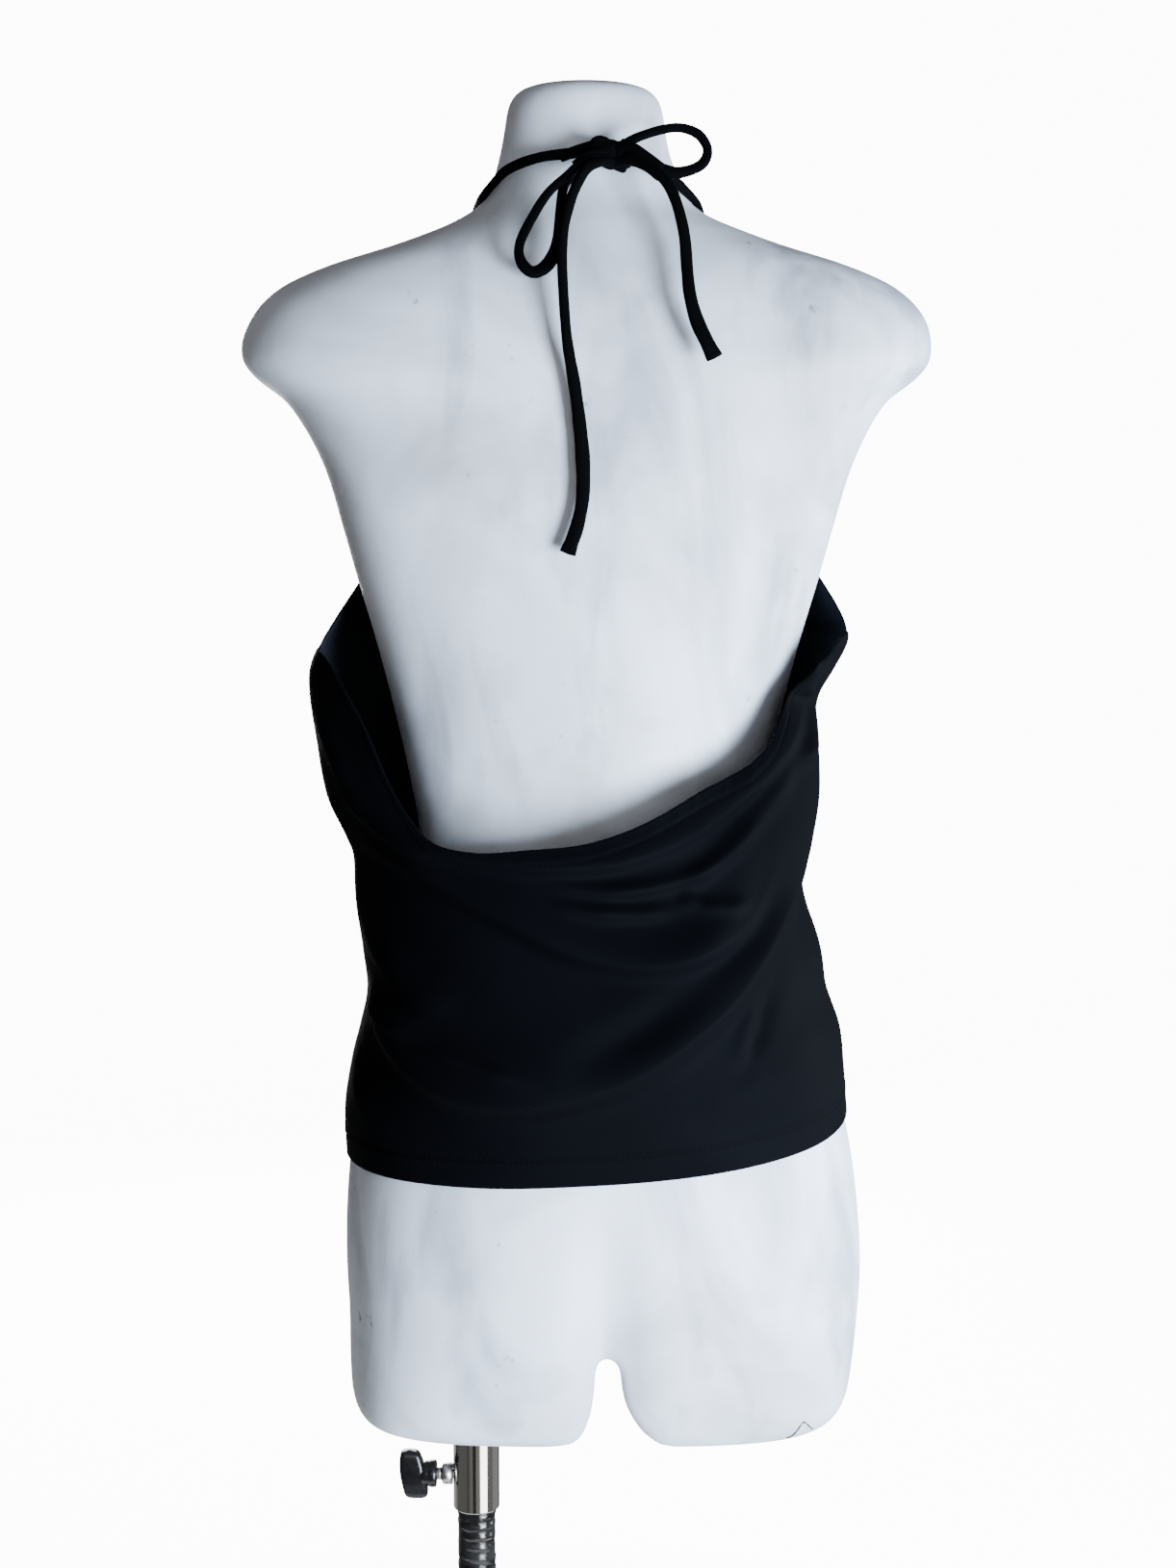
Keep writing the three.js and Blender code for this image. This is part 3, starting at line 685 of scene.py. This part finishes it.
def apply_modifiers(piece):
    graph = bpy.context.evaluated_depsgraph_get()
    graph.update()
    made = bpy.data.meshes.new_from_object(piece.evaluated_get(graph))
    old = piece.data
    piece.modifiers.clear()
    piece.data = made
    bpy.data.meshes.remove(old)
    piece.data.polygons.foreach_set("use_smooth", [True] * len(piece.data.polygons))


form = dress_form()
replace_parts(form, "torso_form")

# A small crack in the form's paint at its lower right corner: its line in (x, z)
CRACK = [(123.6, 38.9), (127, 41), (129.6, 44.5), (133.5, 50), (136.8, 47), (140, 42.5)]
crack_line = route(CRACK, 1.0)
crack_depth = -form_depth(crack_line[:, 0], crack_line[:, 1], 0, -1)
crack_path = np.stack([crack_line[:, 0], crack_depth + 0.35, crack_line[:, 1]], axis=1)
crack_width = 0.8 + 0.4 * np.sin(np.arange(len(crack_path)) * 1.3)
crack_look, _, _ = material("bare_edge", (0.06, 0.055, 0.05), 0.8)
make("paint_crack", *sweep(crack_path, np.tile([0.3, -1.0, -0.3], (len(crack_path), 1)), crack_width,
                           np.full(len(crack_path), 1.6), 6), crack_look, "form_white", DRESSED)

# ---------- folds of the cloth ----------
# Each fold: its line from the left to the right in (x, z), its height, how far it spreads above its line
# and below it, and the share of its length over which each end fades.
BACK_FOLDS = [
    ([(-164, 462), (-150, 440), (-128, 424), (-102, 411), (-88, 408), (-55, 403), (-27, 401), (5, 402),
      (26, 406), (62, 420), (94, 445), (110, 466), (124, 490), (138, 514)], 4.8, 10, 4.5, 0.12, 0.1),
    ([(-38, 397), (-15, 390), (13, 387), (42, 390), (66, 398), (82, 410), (98, 429)], 4, 5.5, 4, 0.3, 0.35),
    ([(-28, 384), (-7, 377), (21, 374.5), (50, 376), (64, 381)], 4, 5.5, 4.5, 0.3, 0.35),
    ([(51, 385), (66, 395), (82, 408), (98, 428), (112, 452), (122, 478)], 4.8, 6, 5.5, 0.2, 0.35),
    ([(51, 385), (64, 379), (80, 376), (98, 380)], 3.4, 5, 5, 0.25, 0.4),
    ([(-148, 424), (-128, 409), (-100, 396), (-76, 384), (-47, 370), (-15, 355), (9, 348), (34, 345),
      (54, 347), (72, 354), (90, 368), (104, 394), (112, 430)], 8.5, 18, 6.5, 0.2, 0.25),
    ([(-146, 380), (-132, 352), (-112, 330), (-84, 316), (-52, 306)], 4.4, 12, 8, 0.3, 0.4),
    ([(-130, 338), (-124, 312), (-113, 290), (-96, 276), (-72, 268), (-42, 266), (-8, 271), (28, 284),
      (64, 308), (86, 331), (108, 362), (122, 398), (130, 436), (136, 470), (141, 506)],
     16, 34, 9, 0.1, 0.1),
    ([(-118, 310), (-99, 298), (-75, 289), (-46, 281), (-24, 277)], 3.6, 5, 3.5, 0.3, 0.3),
    ([(-137, 330), (-124, 311), (-106, 300), (-84, 297)], 3.2, 6, 5, 0.3, 0.4),
    ([(112, 426), (98, 376), (72, 340), (44, 316), (10, 296), (-24, 284)], -6.5, 13, 12, 0.25, 0.25),
    ([(128, 498), (137, 517), (146, 531), (152, 538)], 6, 6, 5, 0.2, 0.1),
    ([(118, 344), (108, 318), (98, 294), (90, 270)], -3.4, 7, 6, 0.3, 0.4),
    ([(104, 330), (96, 304), (88, 276)], 2.6, 5, 6, 0.35, 0.4),
    ([(147, 404), (146, 372), (150, 336), (156, 304), (160, 280)], 4.2, 5, 7, 0.25, 0.3),
    ([(126, 400), (132, 366), (142, 330), (148, 300)], 3.4, 5, 5, 0.3, 0.4),
    ([(118, 452), (128, 472), (138, 498), (150, 524)], 4.4, 4, 4, 0.2, 0.2),
    ([(-172, 500), (-160, 470), (-146, 446), (-128, 428)], 3.6, 8, 6, 0.3, 0.4),
    ([(-164, 450), (-156, 424), (-150, 396), (-146, 366), (-150, 330)], 3.6, 6, 8, 0.2, 0.3),
    ([(-152, 300), (-146, 270), (-134, 246), (-112, 232)], 3.0, 8, 9, 0.3, 0.4),
    ([(60, 262), (92, 264), (122, 276), (146, 296)], 2.2, 12, 12, 0.4, 0.4),
]
FRONT_FOLDS = [
    ([(-172, 470), (-150, 430), (-118, 398), (-76, 376), (-30, 368)], 4.2, 12, 6, 0.15, 0.4),
    ([(-166, 440), (-140, 396), (-106, 362), (-60, 338), (-12, 330), (30, 336)], 4.6, 15, 7, 0.15, 0.4),
    ([(146, 470), (134, 420), (112, 380), (80, 352), (40, 338)], 4.4, 12, 6, 0.15, 0.4),
    ([(146, 400), (132, 350), (104, 316), (66, 298), (20, 296)], 3.4, 14, 8, 0.15, 0.4),
    ([(-150, 350), (-136, 306), (-108, 276), (-70, 260), (-24, 258)], 3.2, 13, 8, 0.15, 0.4),
    ([(-160, 520), (-128, 516), (-96, 530), (-66, 552)], 2.6, 7, 7, 0.2, 0.4),
    ([(156, 520), (124, 512), (92, 524), (62, 548)], 2.8, 7, 7, 0.2, 0.4),
    ([(-58, 560), (-48, 500), (-42, 440), (-44, 380)], 2.2, 11, 11, 0.25, 0.4),
    ([(50, 566), (44, 506), (46, 446), (40, 392)], 2.4, 12, 12, 0.25, 0.4),
    ([(2, 580), (-4, 520), (4, 460), (-2, 400), (6, 330)], -1.8, 13, 13, 0.25, 0.4),
    ([(-30, 300), (0, 286), (40, 284), (84, 300)], 2.4, 14, 9, 0.35, 0.35),
]
# Pleats fanning down from the gathered neckline: place across it, place at the bust, height, width
PLEATS = [
    (-0.86, -0.66, 1.6, 0.05), (-0.7, -0.52, 2.6, 0.07), (-0.5, -0.37, 3.2, 0.07), (-0.33, -0.24, 2.0, 0.05),
    (-0.14, -0.12, 3.0, 0.06), (0.03, 0.0, 2.2, 0.05), (0.2, 0.13, 3.2, 0.07), (0.4, 0.28, 2.4, 0.06),
    (0.57, 0.42, 3.0, 0.06), (0.76, 0.56, 2.2, 0.06), (0.9, 0.7, 1.6, 0.05),
]


def fold_height(x, z, line, height, above, below, fade_start, fade_end):
    """A long soft ridge that rises slowly on one side of its line and drops faster on the other."""
    path = route(line, 4.0)
    flat = np.stack([x.reshape(-1), z.reshape(-1)], axis=1)
    best = np.full(len(flat), 1e9)
    side = np.zeros(len(flat))
    along = np.zeros(len(flat))
    for k, (a, b) in enumerate(zip(path[:-1], path[1:])):
        run = b - a
        t = np.clip(((flat - a) @ run) / (run @ run), 0, 1)
        away = flat - (a + t[:, None] * run)
        distance = np.hypot(away[:, 0], away[:, 1])
        near = distance < best
        best = np.where(near, distance, best)
        side = np.where(near, run[0] * away[:, 1] - run[1] * away[:, 0], side)
        along = np.where(near, (k + t) / (len(path) - 1), along)
    strength = smooth(along / fade_start) * smooth((1 - along) / fade_end)
    strength = strength * (1 + 0.16 * np.sin(along * 9 + height) + 0.1 * np.sin(along * 21 + above))
    shape = np.where(side > 0, bell(best / above), bell(best / below))
    return (height * strength * shape).reshape(x.shape)


def top_sides(side, z):
    left, right, edge, front, back, power, root = (column(TOP, k, z) for k in range(1, 8))
    share = np.abs(np.sin(side * math.pi / 2))
    x = np.sin(side * math.pi / 2) * np.where(side < 0, left, right)
    return x, (1 - share ** power) ** (1 / root), edge, front, back, root


def hem_z(side, dip):
    return HEM["middle"] + HEM["slope"] * 160 * side - dip * np.cos(side * math.pi / 2)


def hem_bands(to_edge, depth):
    """Extra thickness of a turned hem, and the groove along its upper edge."""
    band = smooth((depth - to_edge) / 1.6)
    groove = bell((to_edge - depth) / 1.3)
    return band, groove


def push(n, side):
    """The way a fold moves the cloth: along its normal, and less and less outward near the side seams."""
    inward = smooth((1 - np.abs(side)) / 0.34)
    held = 0.35 + 0.65 * smooth((1 - np.abs(side)) / 0.05)
    return n * np.stack([inward, held, held], axis=2)


def panel_grid(first, columns, rows):
    """Where the points of a panel lie: from side seam to side seam (-1 to 1), and up it (0 to 1)."""
    side = first * (1 - np.linspace(0, 2, columns))[None, :] + np.zeros((rows, 1))
    return side, np.linspace(0, 1, rows)[:, None] + 0 * side


def lay_on_form(outer, way):
    """Keeps a panel clear of the form under it and on its own half; way is -1 at the back."""
    resting = form_depth(outer[..., 0], outer[..., 2], REST + JERSEY, way)
    outer[..., 1] = way * np.maximum(way * outer[..., 1], np.maximum(resting, SEAM_GAP / 2))


def back_cloth():
    side, share = panel_grid(-1, 236, 178)
    low, high = hem_z(side, HEM["dip"]), column(BACK_EDGE, 1, side)
    z = low + (high - low) * share
    x, around, edge, _, back, _ = top_sides(side, z)
    outer = np.stack([x, edge - (back + edge) * around - SEAM_GAP / 2, z], axis=2)
    n = normals(outer)
    rise = sum(fold_height(x, z, *fold) for fold in BACK_FOLDS)
    rise = rise + 0.9 * waves(x, z, 3, 58) * smooth((high - z) / 30)
    from_hem, from_top = z - low, high - z
    hem, groove = hem_bands(from_hem, HEM_DEPTH)
    band, lip = hem_bands(from_top, EDGE_DEPTH)
    drawn = smooth((side + 0.1) / 0.5) * (0.45 + 0.55 * np.sin(side * 23 + 1.7) * np.sin(side * 9.3))
    pucker = band * (0.1 + 0.5 * drawn) * np.sin(side * 104 + 7 * np.sin(side * 17) + 4 * np.sin(side * 37))
    rise = rise + 0.45 * hem - 0.35 * groove + 0.5 * band - 0.3 * lip + pucker
    outer = outer + push(n, side) * rise[..., None]
    lay_on_form(outer, -1)
    return outer, JERSEY * (1 + TURNED_MORE * hem + TURNED_MORE * band)


def front_cloth():
    side, share = panel_grid(1, 190, 210)
    low = hem_z(side, 0)
    underarm = UNDERARM["middle"] + UNDERARM["slope"] * 160 * side
    neck = NECKLINE["middle"] + NECKLINE["rise"] * side * side
    split = 0.56
    z = np.where(share < split, low + (underarm - low) * share / split,
                 underarm + (neck - underarm) * (share - split) / (1 - split))
    x, around, edge, front, _, root = top_sides(side, z)
    down = np.clip((NECKLINE["middle"] - z) / 190, 0, 1)
    gathers = sum(h * bell((side - (a + (b - a) * down)) / (w * (1 + 1.6 * down))) for a, b, h, w in PLEATS)
    gathers = (gathers - 0.9) * smooth((z - 540) / 150)
    gathers = gathers * smooth((NECKLINE["middle"] + 20 - z) / 24 + 0.3)
    outer = np.stack([x, edge + (front - edge) * around + SEAM_GAP / 2, z], axis=2)
    n = normals(outer)
    rise = 1.25 * sum(fold_height(x, z, *fold) for fold in FRONT_FOLDS) + 0.7 * waves(x, z, 8, 52) + gathers
    hem, groove = hem_bands(z - low, HEM_DEPTH)
    to_side = (1 - np.abs(side)) * 150
    above = smooth((z - underarm - 2) / 8)
    band, lip = hem_bands(to_side, EDGE_DEPTH)
    rise = rise + 0.45 * hem - 0.35 * groove + (0.4 * band - 0.3 * lip) * above
    outer = outer + push(n, side) * rise[..., None]
    lay_on_form(outer, 1)
    return outer, JERSEY * (1 + TURNED_MORE * hem + 0.6 * band * above)


back_outer, back_thick = back_cloth()
front_outer, front_thick = front_cloth()
back_piece = make("back_cowl", *shell(back_outer, back_thick), JERSEY_MATERIAL, "jersey", DRESSED)
front_piece = make("front_halter", *shell(front_outer, front_thick), JERSEY_MATERIAL, "jersey", DRESSED)


def paint_fill_inside(piece, outer):
    """The inside faces get a paler jersey: painted light in place of the fill that the form shades off from
    them.
    """
    piece.data.materials.append(PAINTED_FILL_MATERIAL)
    count = (outer.shape[0] - 1) * (outer.shape[1] - 1)
    for face in piece.data.polygons[count:2 * count]:
        face.material_index = 1


paint_fill_inside(front_piece, front_outer)
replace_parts(back_piece, "back_panel")
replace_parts(front_piece, "front_panel")


# ---------- neck casing ----------
def casing():
    path = route(CASING_ROUTE, 1.2)
    share = np.linspace(0, 1, len(path))
    sides = 28
    _, across, above = directions(path, np.array([0, 0, 1.0]))
    angle = np.arange(sides) / sides * 2 * math.pi
    gather = (1 + 0.07 * np.sin(share * 95 + 3 * np.sin(share * 17))[:, None]
              + 0.05 * np.sin(share * 171)[:, None] * np.cos(angle)[None, :])

    def ring(radius):
        return (path[:, None] + across[:, None] * (np.cos(angle)[None, :, None] * radius[..., None])
                + above[:, None] * (np.sin(angle)[None, :, None] * 1.08 * radius[..., None]))

    outer, inner = ring(CASING_OUTER * gather), ring(CASING_INNER * gather)
    points = np.vstack([outer.reshape(-1, 3), inner.reshape(-1, 3)])
    faces = pipe_faces(len(path), sides, flip=True)
    return make("neck_casing_cloth", points, faces, JERSEY_MATERIAL, "jersey", DRESSED)


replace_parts(casing(), "neck_casing")


# ---------- stitches ----------
def stitches(name, lines, length=2.3, pitch=3.3, radius=0.24):
    """Rows of short threads lying on the cloth: each line is points and normals along it."""
    points, faces = [], []
    for line, out in lines:
        along = np.concatenate([[0], np.cumsum(np.linalg.norm(np.diff(line, axis=0), axis=1))])
        for start in np.arange(pitch, along[-1] - pitch, pitch):
            places = start + np.array([0, 0.25, 0.75, 1]) * length
            lift = np.array([-0.25, 0.16, 0.16, -0.25])
            p = np.stack([np.interp(places, along, line[:, k]) for k in range(3)], axis=1)
            n = np.stack([np.interp(places, along, out[:, k]) for k in range(3)], axis=1)
            round_all = np.full(4, 2 * radius)
            tube, made = sweep(p + n * lift[:, None], n, round_all, round_all, 5, 2)
            faces += moved(made, len(points) * len(tube))
            points.append(tube)
    return make(name, np.vstack(points), faces, THREAD_MATERIAL, "jersey", DRESSED)


def row_on(outer, end, above, sides=(0.0, 1.0)):
    """A line on a panel at a height above each column's first point (end 0) or its last (end -1)."""
    n = normals(outer)
    first, last = int(sides[0] * (outer.shape[1] - 1)), int(sides[1] * (outer.shape[1] - 1))
    line, out = [], []
    for i in range(first, last + 1):
        height = outer[:, i, 2] - outer[end, i, 2]
        line.append([np.interp(above, height, outer[:, i, k]) for k in range(3)])
        out.append([np.interp(above, height, n[:, i, k]) for k in range(3)])
    return np.array(line), np.array(out)


stitches("hem_stitches", [row_on(panel, 0, at) for panel in (back_outer, front_outer) for at in HEM_ROWS])
stitches("edge_stitches", [row_on(back_outer, -1, 0.6 - EDGE_DEPTH, (0.1, 0.93))])


# ---------- the stand ----------
def from_pole(points):
    """Points of the pole's own frame, whose z is over the floor, in the torso's frame."""
    return points - [ORIGIN[0], 0, ORIGIN[2]]


def rounded(outer, inner, low, high, r, steps):
    """The profile of a turned ring with rounded outer edges."""
    turn = np.linspace(0, math.pi / 2, steps)
    lower = [(outer - r + r * math.sin(a), low + r - r * math.cos(a)) for a in turn]
    upper = [(outer - r + r * math.cos(a), high - r + r * math.sin(a)) for a in turn]
    wall = [(outer, low + r + 0.5), (outer, high - r - 0.5)]
    return [(inner, low)] + lower + wall + upper + [(inner, high)]


def mm_box(node):
    """A node's box in millimetres: its two ends across, its low end and its high end."""
    low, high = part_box(node)
    return {"near": low[0] * 1000, "far": high[0] * 1000, "low": low[2] * 1000, "high": high[2] * 1000}


def stand_piece(name, node, bore, r, look, slot, body, sides=96, steps=4):
    """A round piece of the stand, as large as its solid, with its bore and its rounded edges."""
    box = mm_box(node)
    points, faces = turned(rounded(box["far"], bore, box["low"], box["high"], r, steps), sides)
    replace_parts(make(name, from_pole(points), faces, look, slot, body), node)


stand_piece("plate", "base_plate", 0.01, 2.2, BASE_MATERIAL, "base_steel", "base", 160, 6)
stand_piece("socket", "base_socket", SOCKET_BORE, 2.5, BASE_MATERIAL, "base_steel", "base", 96, 6)
stand_piece("pole_tube", "pole", POLE_BORE, 0.5, CHROME_MATERIAL, "pole_chrome", "column")
stand_piece("sleeve_tube", "pole_sleeve", SLEEVE_BORE, 0.7, CHROME_MATERIAL, "sleeve_chrome", DRESSED)


def film_wrap():
    """Film wound on the pole in overlapping turns and creased across; the sleeve slides over it."""
    box = mm_box("pole_wrap")
    sides, rows = 96, 340
    z = np.linspace(box["low"], box["high"], rows)[:, None]
    angle = (np.arange(sides) / sides * 2 * math.pi)[None, :]
    turn = (z / FILM["turn"] + angle / (2 * math.pi)) % 1
    lap = FILM["lap"] * (1 - turn) * smooth(turn / 0.06)
    drift = 1.5 * np.sin(angle + z / 31) + 0.9 * np.sin(2 * angle - z / 19)
    crease = np.abs(np.sin((z + drift) / 2.15 + 0.8 * np.sin(z / 13))) ** 3
    fade = 0.5 + 0.5 * np.sin(z / 7.3 + 1.7 * np.sin(angle * 2 + z / 43))
    radius = FILM["thin"] + lap + FILM["crease"] * crease * (0.35 + 0.65 * fade)
    radius = radius + 0.08 * np.sin(z / 5.3 + angle * 3)
    rings = []
    for r in (radius, FILM["inner"] + 0 * radius):
        rings.append(np.stack([r * np.cos(angle), r * np.sin(angle), z + 0 * angle], axis=2).reshape(-1, 3))
    points = from_pole(np.vstack(rings))
    piece = make("film_wrap", points, pipe_faces(rows, sides), FILM_MATERIAL, "film", "column")
    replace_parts(piece, "pole_wrap")


film_wrap()


BOSS, KNOB = mm_box("clamp_boss"), mm_box("clamp_knob")
SCREW_HEIGHT = (BOSS["low"] + BOSS["high"]) / 2
BOSS_NEAR, BOSS_END = -BOSS["far"], -BOSS["near"]  # distances from the pole's axis
SCREW_TIP, KNOB_END = -KNOB["far"], -KNOB["near"]


def sideways(profile, sides=48):
    """A profile of (radius, distance from the pole) turned about the clamp screw's line."""
    points, faces = turned(profile, sides)
    laid = np.stack([-points[:, 2], points[:, 1], SCREW_HEIGHT + points[:, 0]], axis=1)
    return from_pole(laid), faces


boss_profile = [
    (SCREW_BORE, BOSS_NEAR), (7, BOSS_NEAR), (7, BOSS_END - 1.4), (6.2, BOSS_END - 0.4),
    (5.4, BOSS_END), (SCREW_BORE, BOSS_END),
]
boss = make("screw_boss", *sideways(boss_profile), TURNED_MATERIAL, "sleeve_chrome", DRESSED)
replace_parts(boss, "clamp_boss")

shaft_profile = [
    (0.01, SCREW_TIP), (2.6, SCREW_TIP), (SCREW_RADIUS, SCREW_TIP + 0.5), (SCREW_RADIUS, BOSS_END + 0.4),
    (4.4, BOSS_END + 0.4), (3.9, BOSS_END + 2), (4.2, BOSS_END + 6), (0.01, BOSS_END + 6),
]
make("clamp_screw_shaft", *sideways(shaft_profile), TURNED_MATERIAL, "sleeve_chrome", "clamp_screw")


def wing_knob():
    """A moulded collar with one long thick wing whose ends lean opposite ways."""
    wing_half = (KNOB["high"] - KNOB["low"]) / 2 + WING_OVER
    rows, sides = 61, 40
    t = np.linspace(-1, 1, rows)
    end = np.maximum((1 - np.abs(t) ** 12) ** 0.38, 0.02)
    thick = (8.6 - 1.7 * np.abs(t) ** 1.5 - 0.9 * t * np.abs(t)) * end
    deep = (6.2 + 0.9 * np.cos(t * math.pi)) * end
    middle = 8.6 - 2.4 * t - KNOB_END
    angle = np.arange(sides) / sides * 2 * math.pi
    c, s = np.cos(angle), np.sin(angle)
    x = middle[:, None] + thick[:, None] * (np.sign(c) * np.abs(c) ** 0.42)[None]
    y = deep[:, None] * (np.sign(s) * np.abs(s) ** 0.5)[None]
    z = np.repeat((SCREW_HEIGHT + wing_half * t)[:, None], sides, axis=1)
    points = from_pole(np.stack([x, y, z], axis=2).reshape(-1, 3))
    faces = grid_faces(rows, sides, ring=True)
    faces += [list(range(sides))[::-1], list(range((rows - 1) * sides, rows * sides))]
    near = BOSS_END + 3.6
    hub, hub_faces = sideways([
        (3.1, near), (8.0, near), (8.9, near + 0.9), (8.9, near + 4), (8.2, near + 5), (8.6, near + 6.2),
        (7.4, near + 9), (6.5, near + 13), (0.01, near + 13), (0.01, near + 2),
    ])
    faces += moved(hub_faces, len(points))
    piece = make("wing_knob", np.vstack([points, hub]), faces, KNOB_MATERIAL, "knob_black", "clamp_screw")
    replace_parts(piece, "clamp_knob")


wing_knob()


# ---------- stage and light ----------
SURROUND_GLOW = 12.0  # the paper round the object is lit up to white
FLOOR_GLOW = 0.8
ROOM_RADIUS = 3.4
CORNER = 0.8  # radius of the bend from the floor up to the wall
FLOOR_GLOW_FROM, FLOOR_GLOW_TO = 0.5, 0.98  # distances between which the floor brightens to the surround
MIRRORED_REACH, MIRRORED_TALL = 0.95, 0.4
# Strips that the metal mirrors: from azimuth, to azimuth, brightness
MIRRORED = [
    (-180, -118, 0.54), (-118, -106, 0.28), (-106, -47, 0.17), (-47, -31, 0.12), (-31, -15, 0.25),
    (-15, 0, 0.04), (0, 15, 0.32), (15, 22, 0.5), (22, 57, 12.0), (57, 90, 0.25), (90, 135, 0.42),
    (135, 180, 0.2),
]


def paper_material(name, glow):
    look, tree, shader = material(name, (0.8, 0.8, 0.805), 0.9)
    tint = ramp_node(tree, noise_node(tree, 0.8, 2), (0.79, 0.79, 0.795), (0.81, 0.81, 0.815))
    tree.links.new(tint, shader.inputs["Base Color"])
    set_inputs(shader, {"Emission Color": (1, 1, 1, 1), "Emission Strength": FLOOR_GLOW})
    if glow:
        place = tree.nodes.new("ShaderNodeTexCoord")
        reach = tree.nodes.new("ShaderNodeVectorMath")
        reach.operation = "LENGTH"
        tree.links.new(place.outputs["Object"], reach.inputs[0])
        strength = range_node(tree, reach.outputs["Value"], FLOOR_GLOW, SURROUND_GLOW,
                              FLOOR_GLOW_FROM, FLOOR_GLOW_TO)
        tree.links.new(strength, shader.inputs["Emission Strength"])
    return look


def stage_turned(name, profile, look, sides=128):
    """A stage surface from an open profile of (radius, z) in metres."""
    angle = np.arange(sides) / sides * 2 * math.pi
    points = [(r * math.cos(a), r * math.sin(a), z) for r, z in profile for a in angle]
    faces = grid_faces(len(profile), sides, ring=True, flip=True)
    made = put(name, points, faces, look)
    return made


def mirrored_room():
    """Upright strips round the object, seen only mirrored in the metal."""
    for k, (start, end, glow) in enumerate(MIRRORED):
        look, _, shader = material(f"mirrored_{k}", (0, 0, 0), 0.9)
        set_inputs(shader, {"Specular IOR Level": 0, "Emission Color": (1, 0.98, 0.95, 1),
                            "Emission Strength": glow})
        turns = np.radians(np.linspace(start, end, max(2, int((end - start) / 6) + 1)))
        points = [(MIRRORED_REACH * math.sin(a), -MIRRORED_REACH * math.cos(a), z)
                  for z in (0, MIRRORED_TALL) for a in turns]
        made = put(f"mirrored_{k}", points, grid_faces(2, len(turns)), look)
        made.visible_camera = False
        made.visible_diffuse = False
        made.visible_shadow = False


def area_light(name, place, target, size, power, color=(1, 1, 1)):
    data = bpy.data.lights.new(name, "AREA")
    data.shape = "RECTANGLE"
    data.size, data.size_y = size
    data.energy = power
    data.color = color
    light = bpy.data.objects.new(name, data)
    light.location = place
    light.rotation_euler = (Vector(target) - Vector(place)).to_track_quat("-Z", "Y").to_euler()
    light.visible_camera = False
    bpy.context.scene.collection.objects.link(light)


stage_turned("floor_paper", [(0.001, 0), (0.3, 0), (FLOOR_GLOW_FROM, 0)],
             paper_material("floor_paper", False))
sweep_up = [(ROOM_RADIUS - CORNER + CORNER * math.sin(a), CORNER - CORNER * math.cos(a))
            for a in np.linspace(0, math.pi / 2, 14)]
surround_profile = [(FLOOR_GLOW_FROM, 0), (FLOOR_GLOW_TO, 0)] + sweep_up + [(ROOM_RADIUS, 3.2)]
surround = stage_turned("surround_paper", surround_profile, paper_material("surround_paper", True))
surround.visible_diffuse = False
surround.visible_glossy = False
surround.visible_shadow = False
mirrored_room()
area_light("window", (1.05, -1.3, 0.62), (0.07, 0, 0.8), (0.6, 0.9), 135, (0.78, 0.89, 1))
area_light("side_window", (1.7, 0.25, 0.9), (0.07, 0, 0.85), (0.3, 1.2), 45, (0.82, 0.92, 1))
area_light("fill", (0.1, -2.3, 1.25), (0.07, 0, 0.9), (1.6, 1.2), 12, (1, 0.98, 0.96))
area_light("front_fill", (-0.3, 2.6, 1.2), (0.07, 0, 0.95), (1.6, 1.4), 90, (1, 0.99, 0.98))
world = bpy.data.worlds.new("room")
world.use_nodes = True
set_inputs(world.node_tree.nodes["Background"], {"Color": (1, 0.96, 0.91, 1), "Strength": 0.16})
bpy.context.scene.world = world
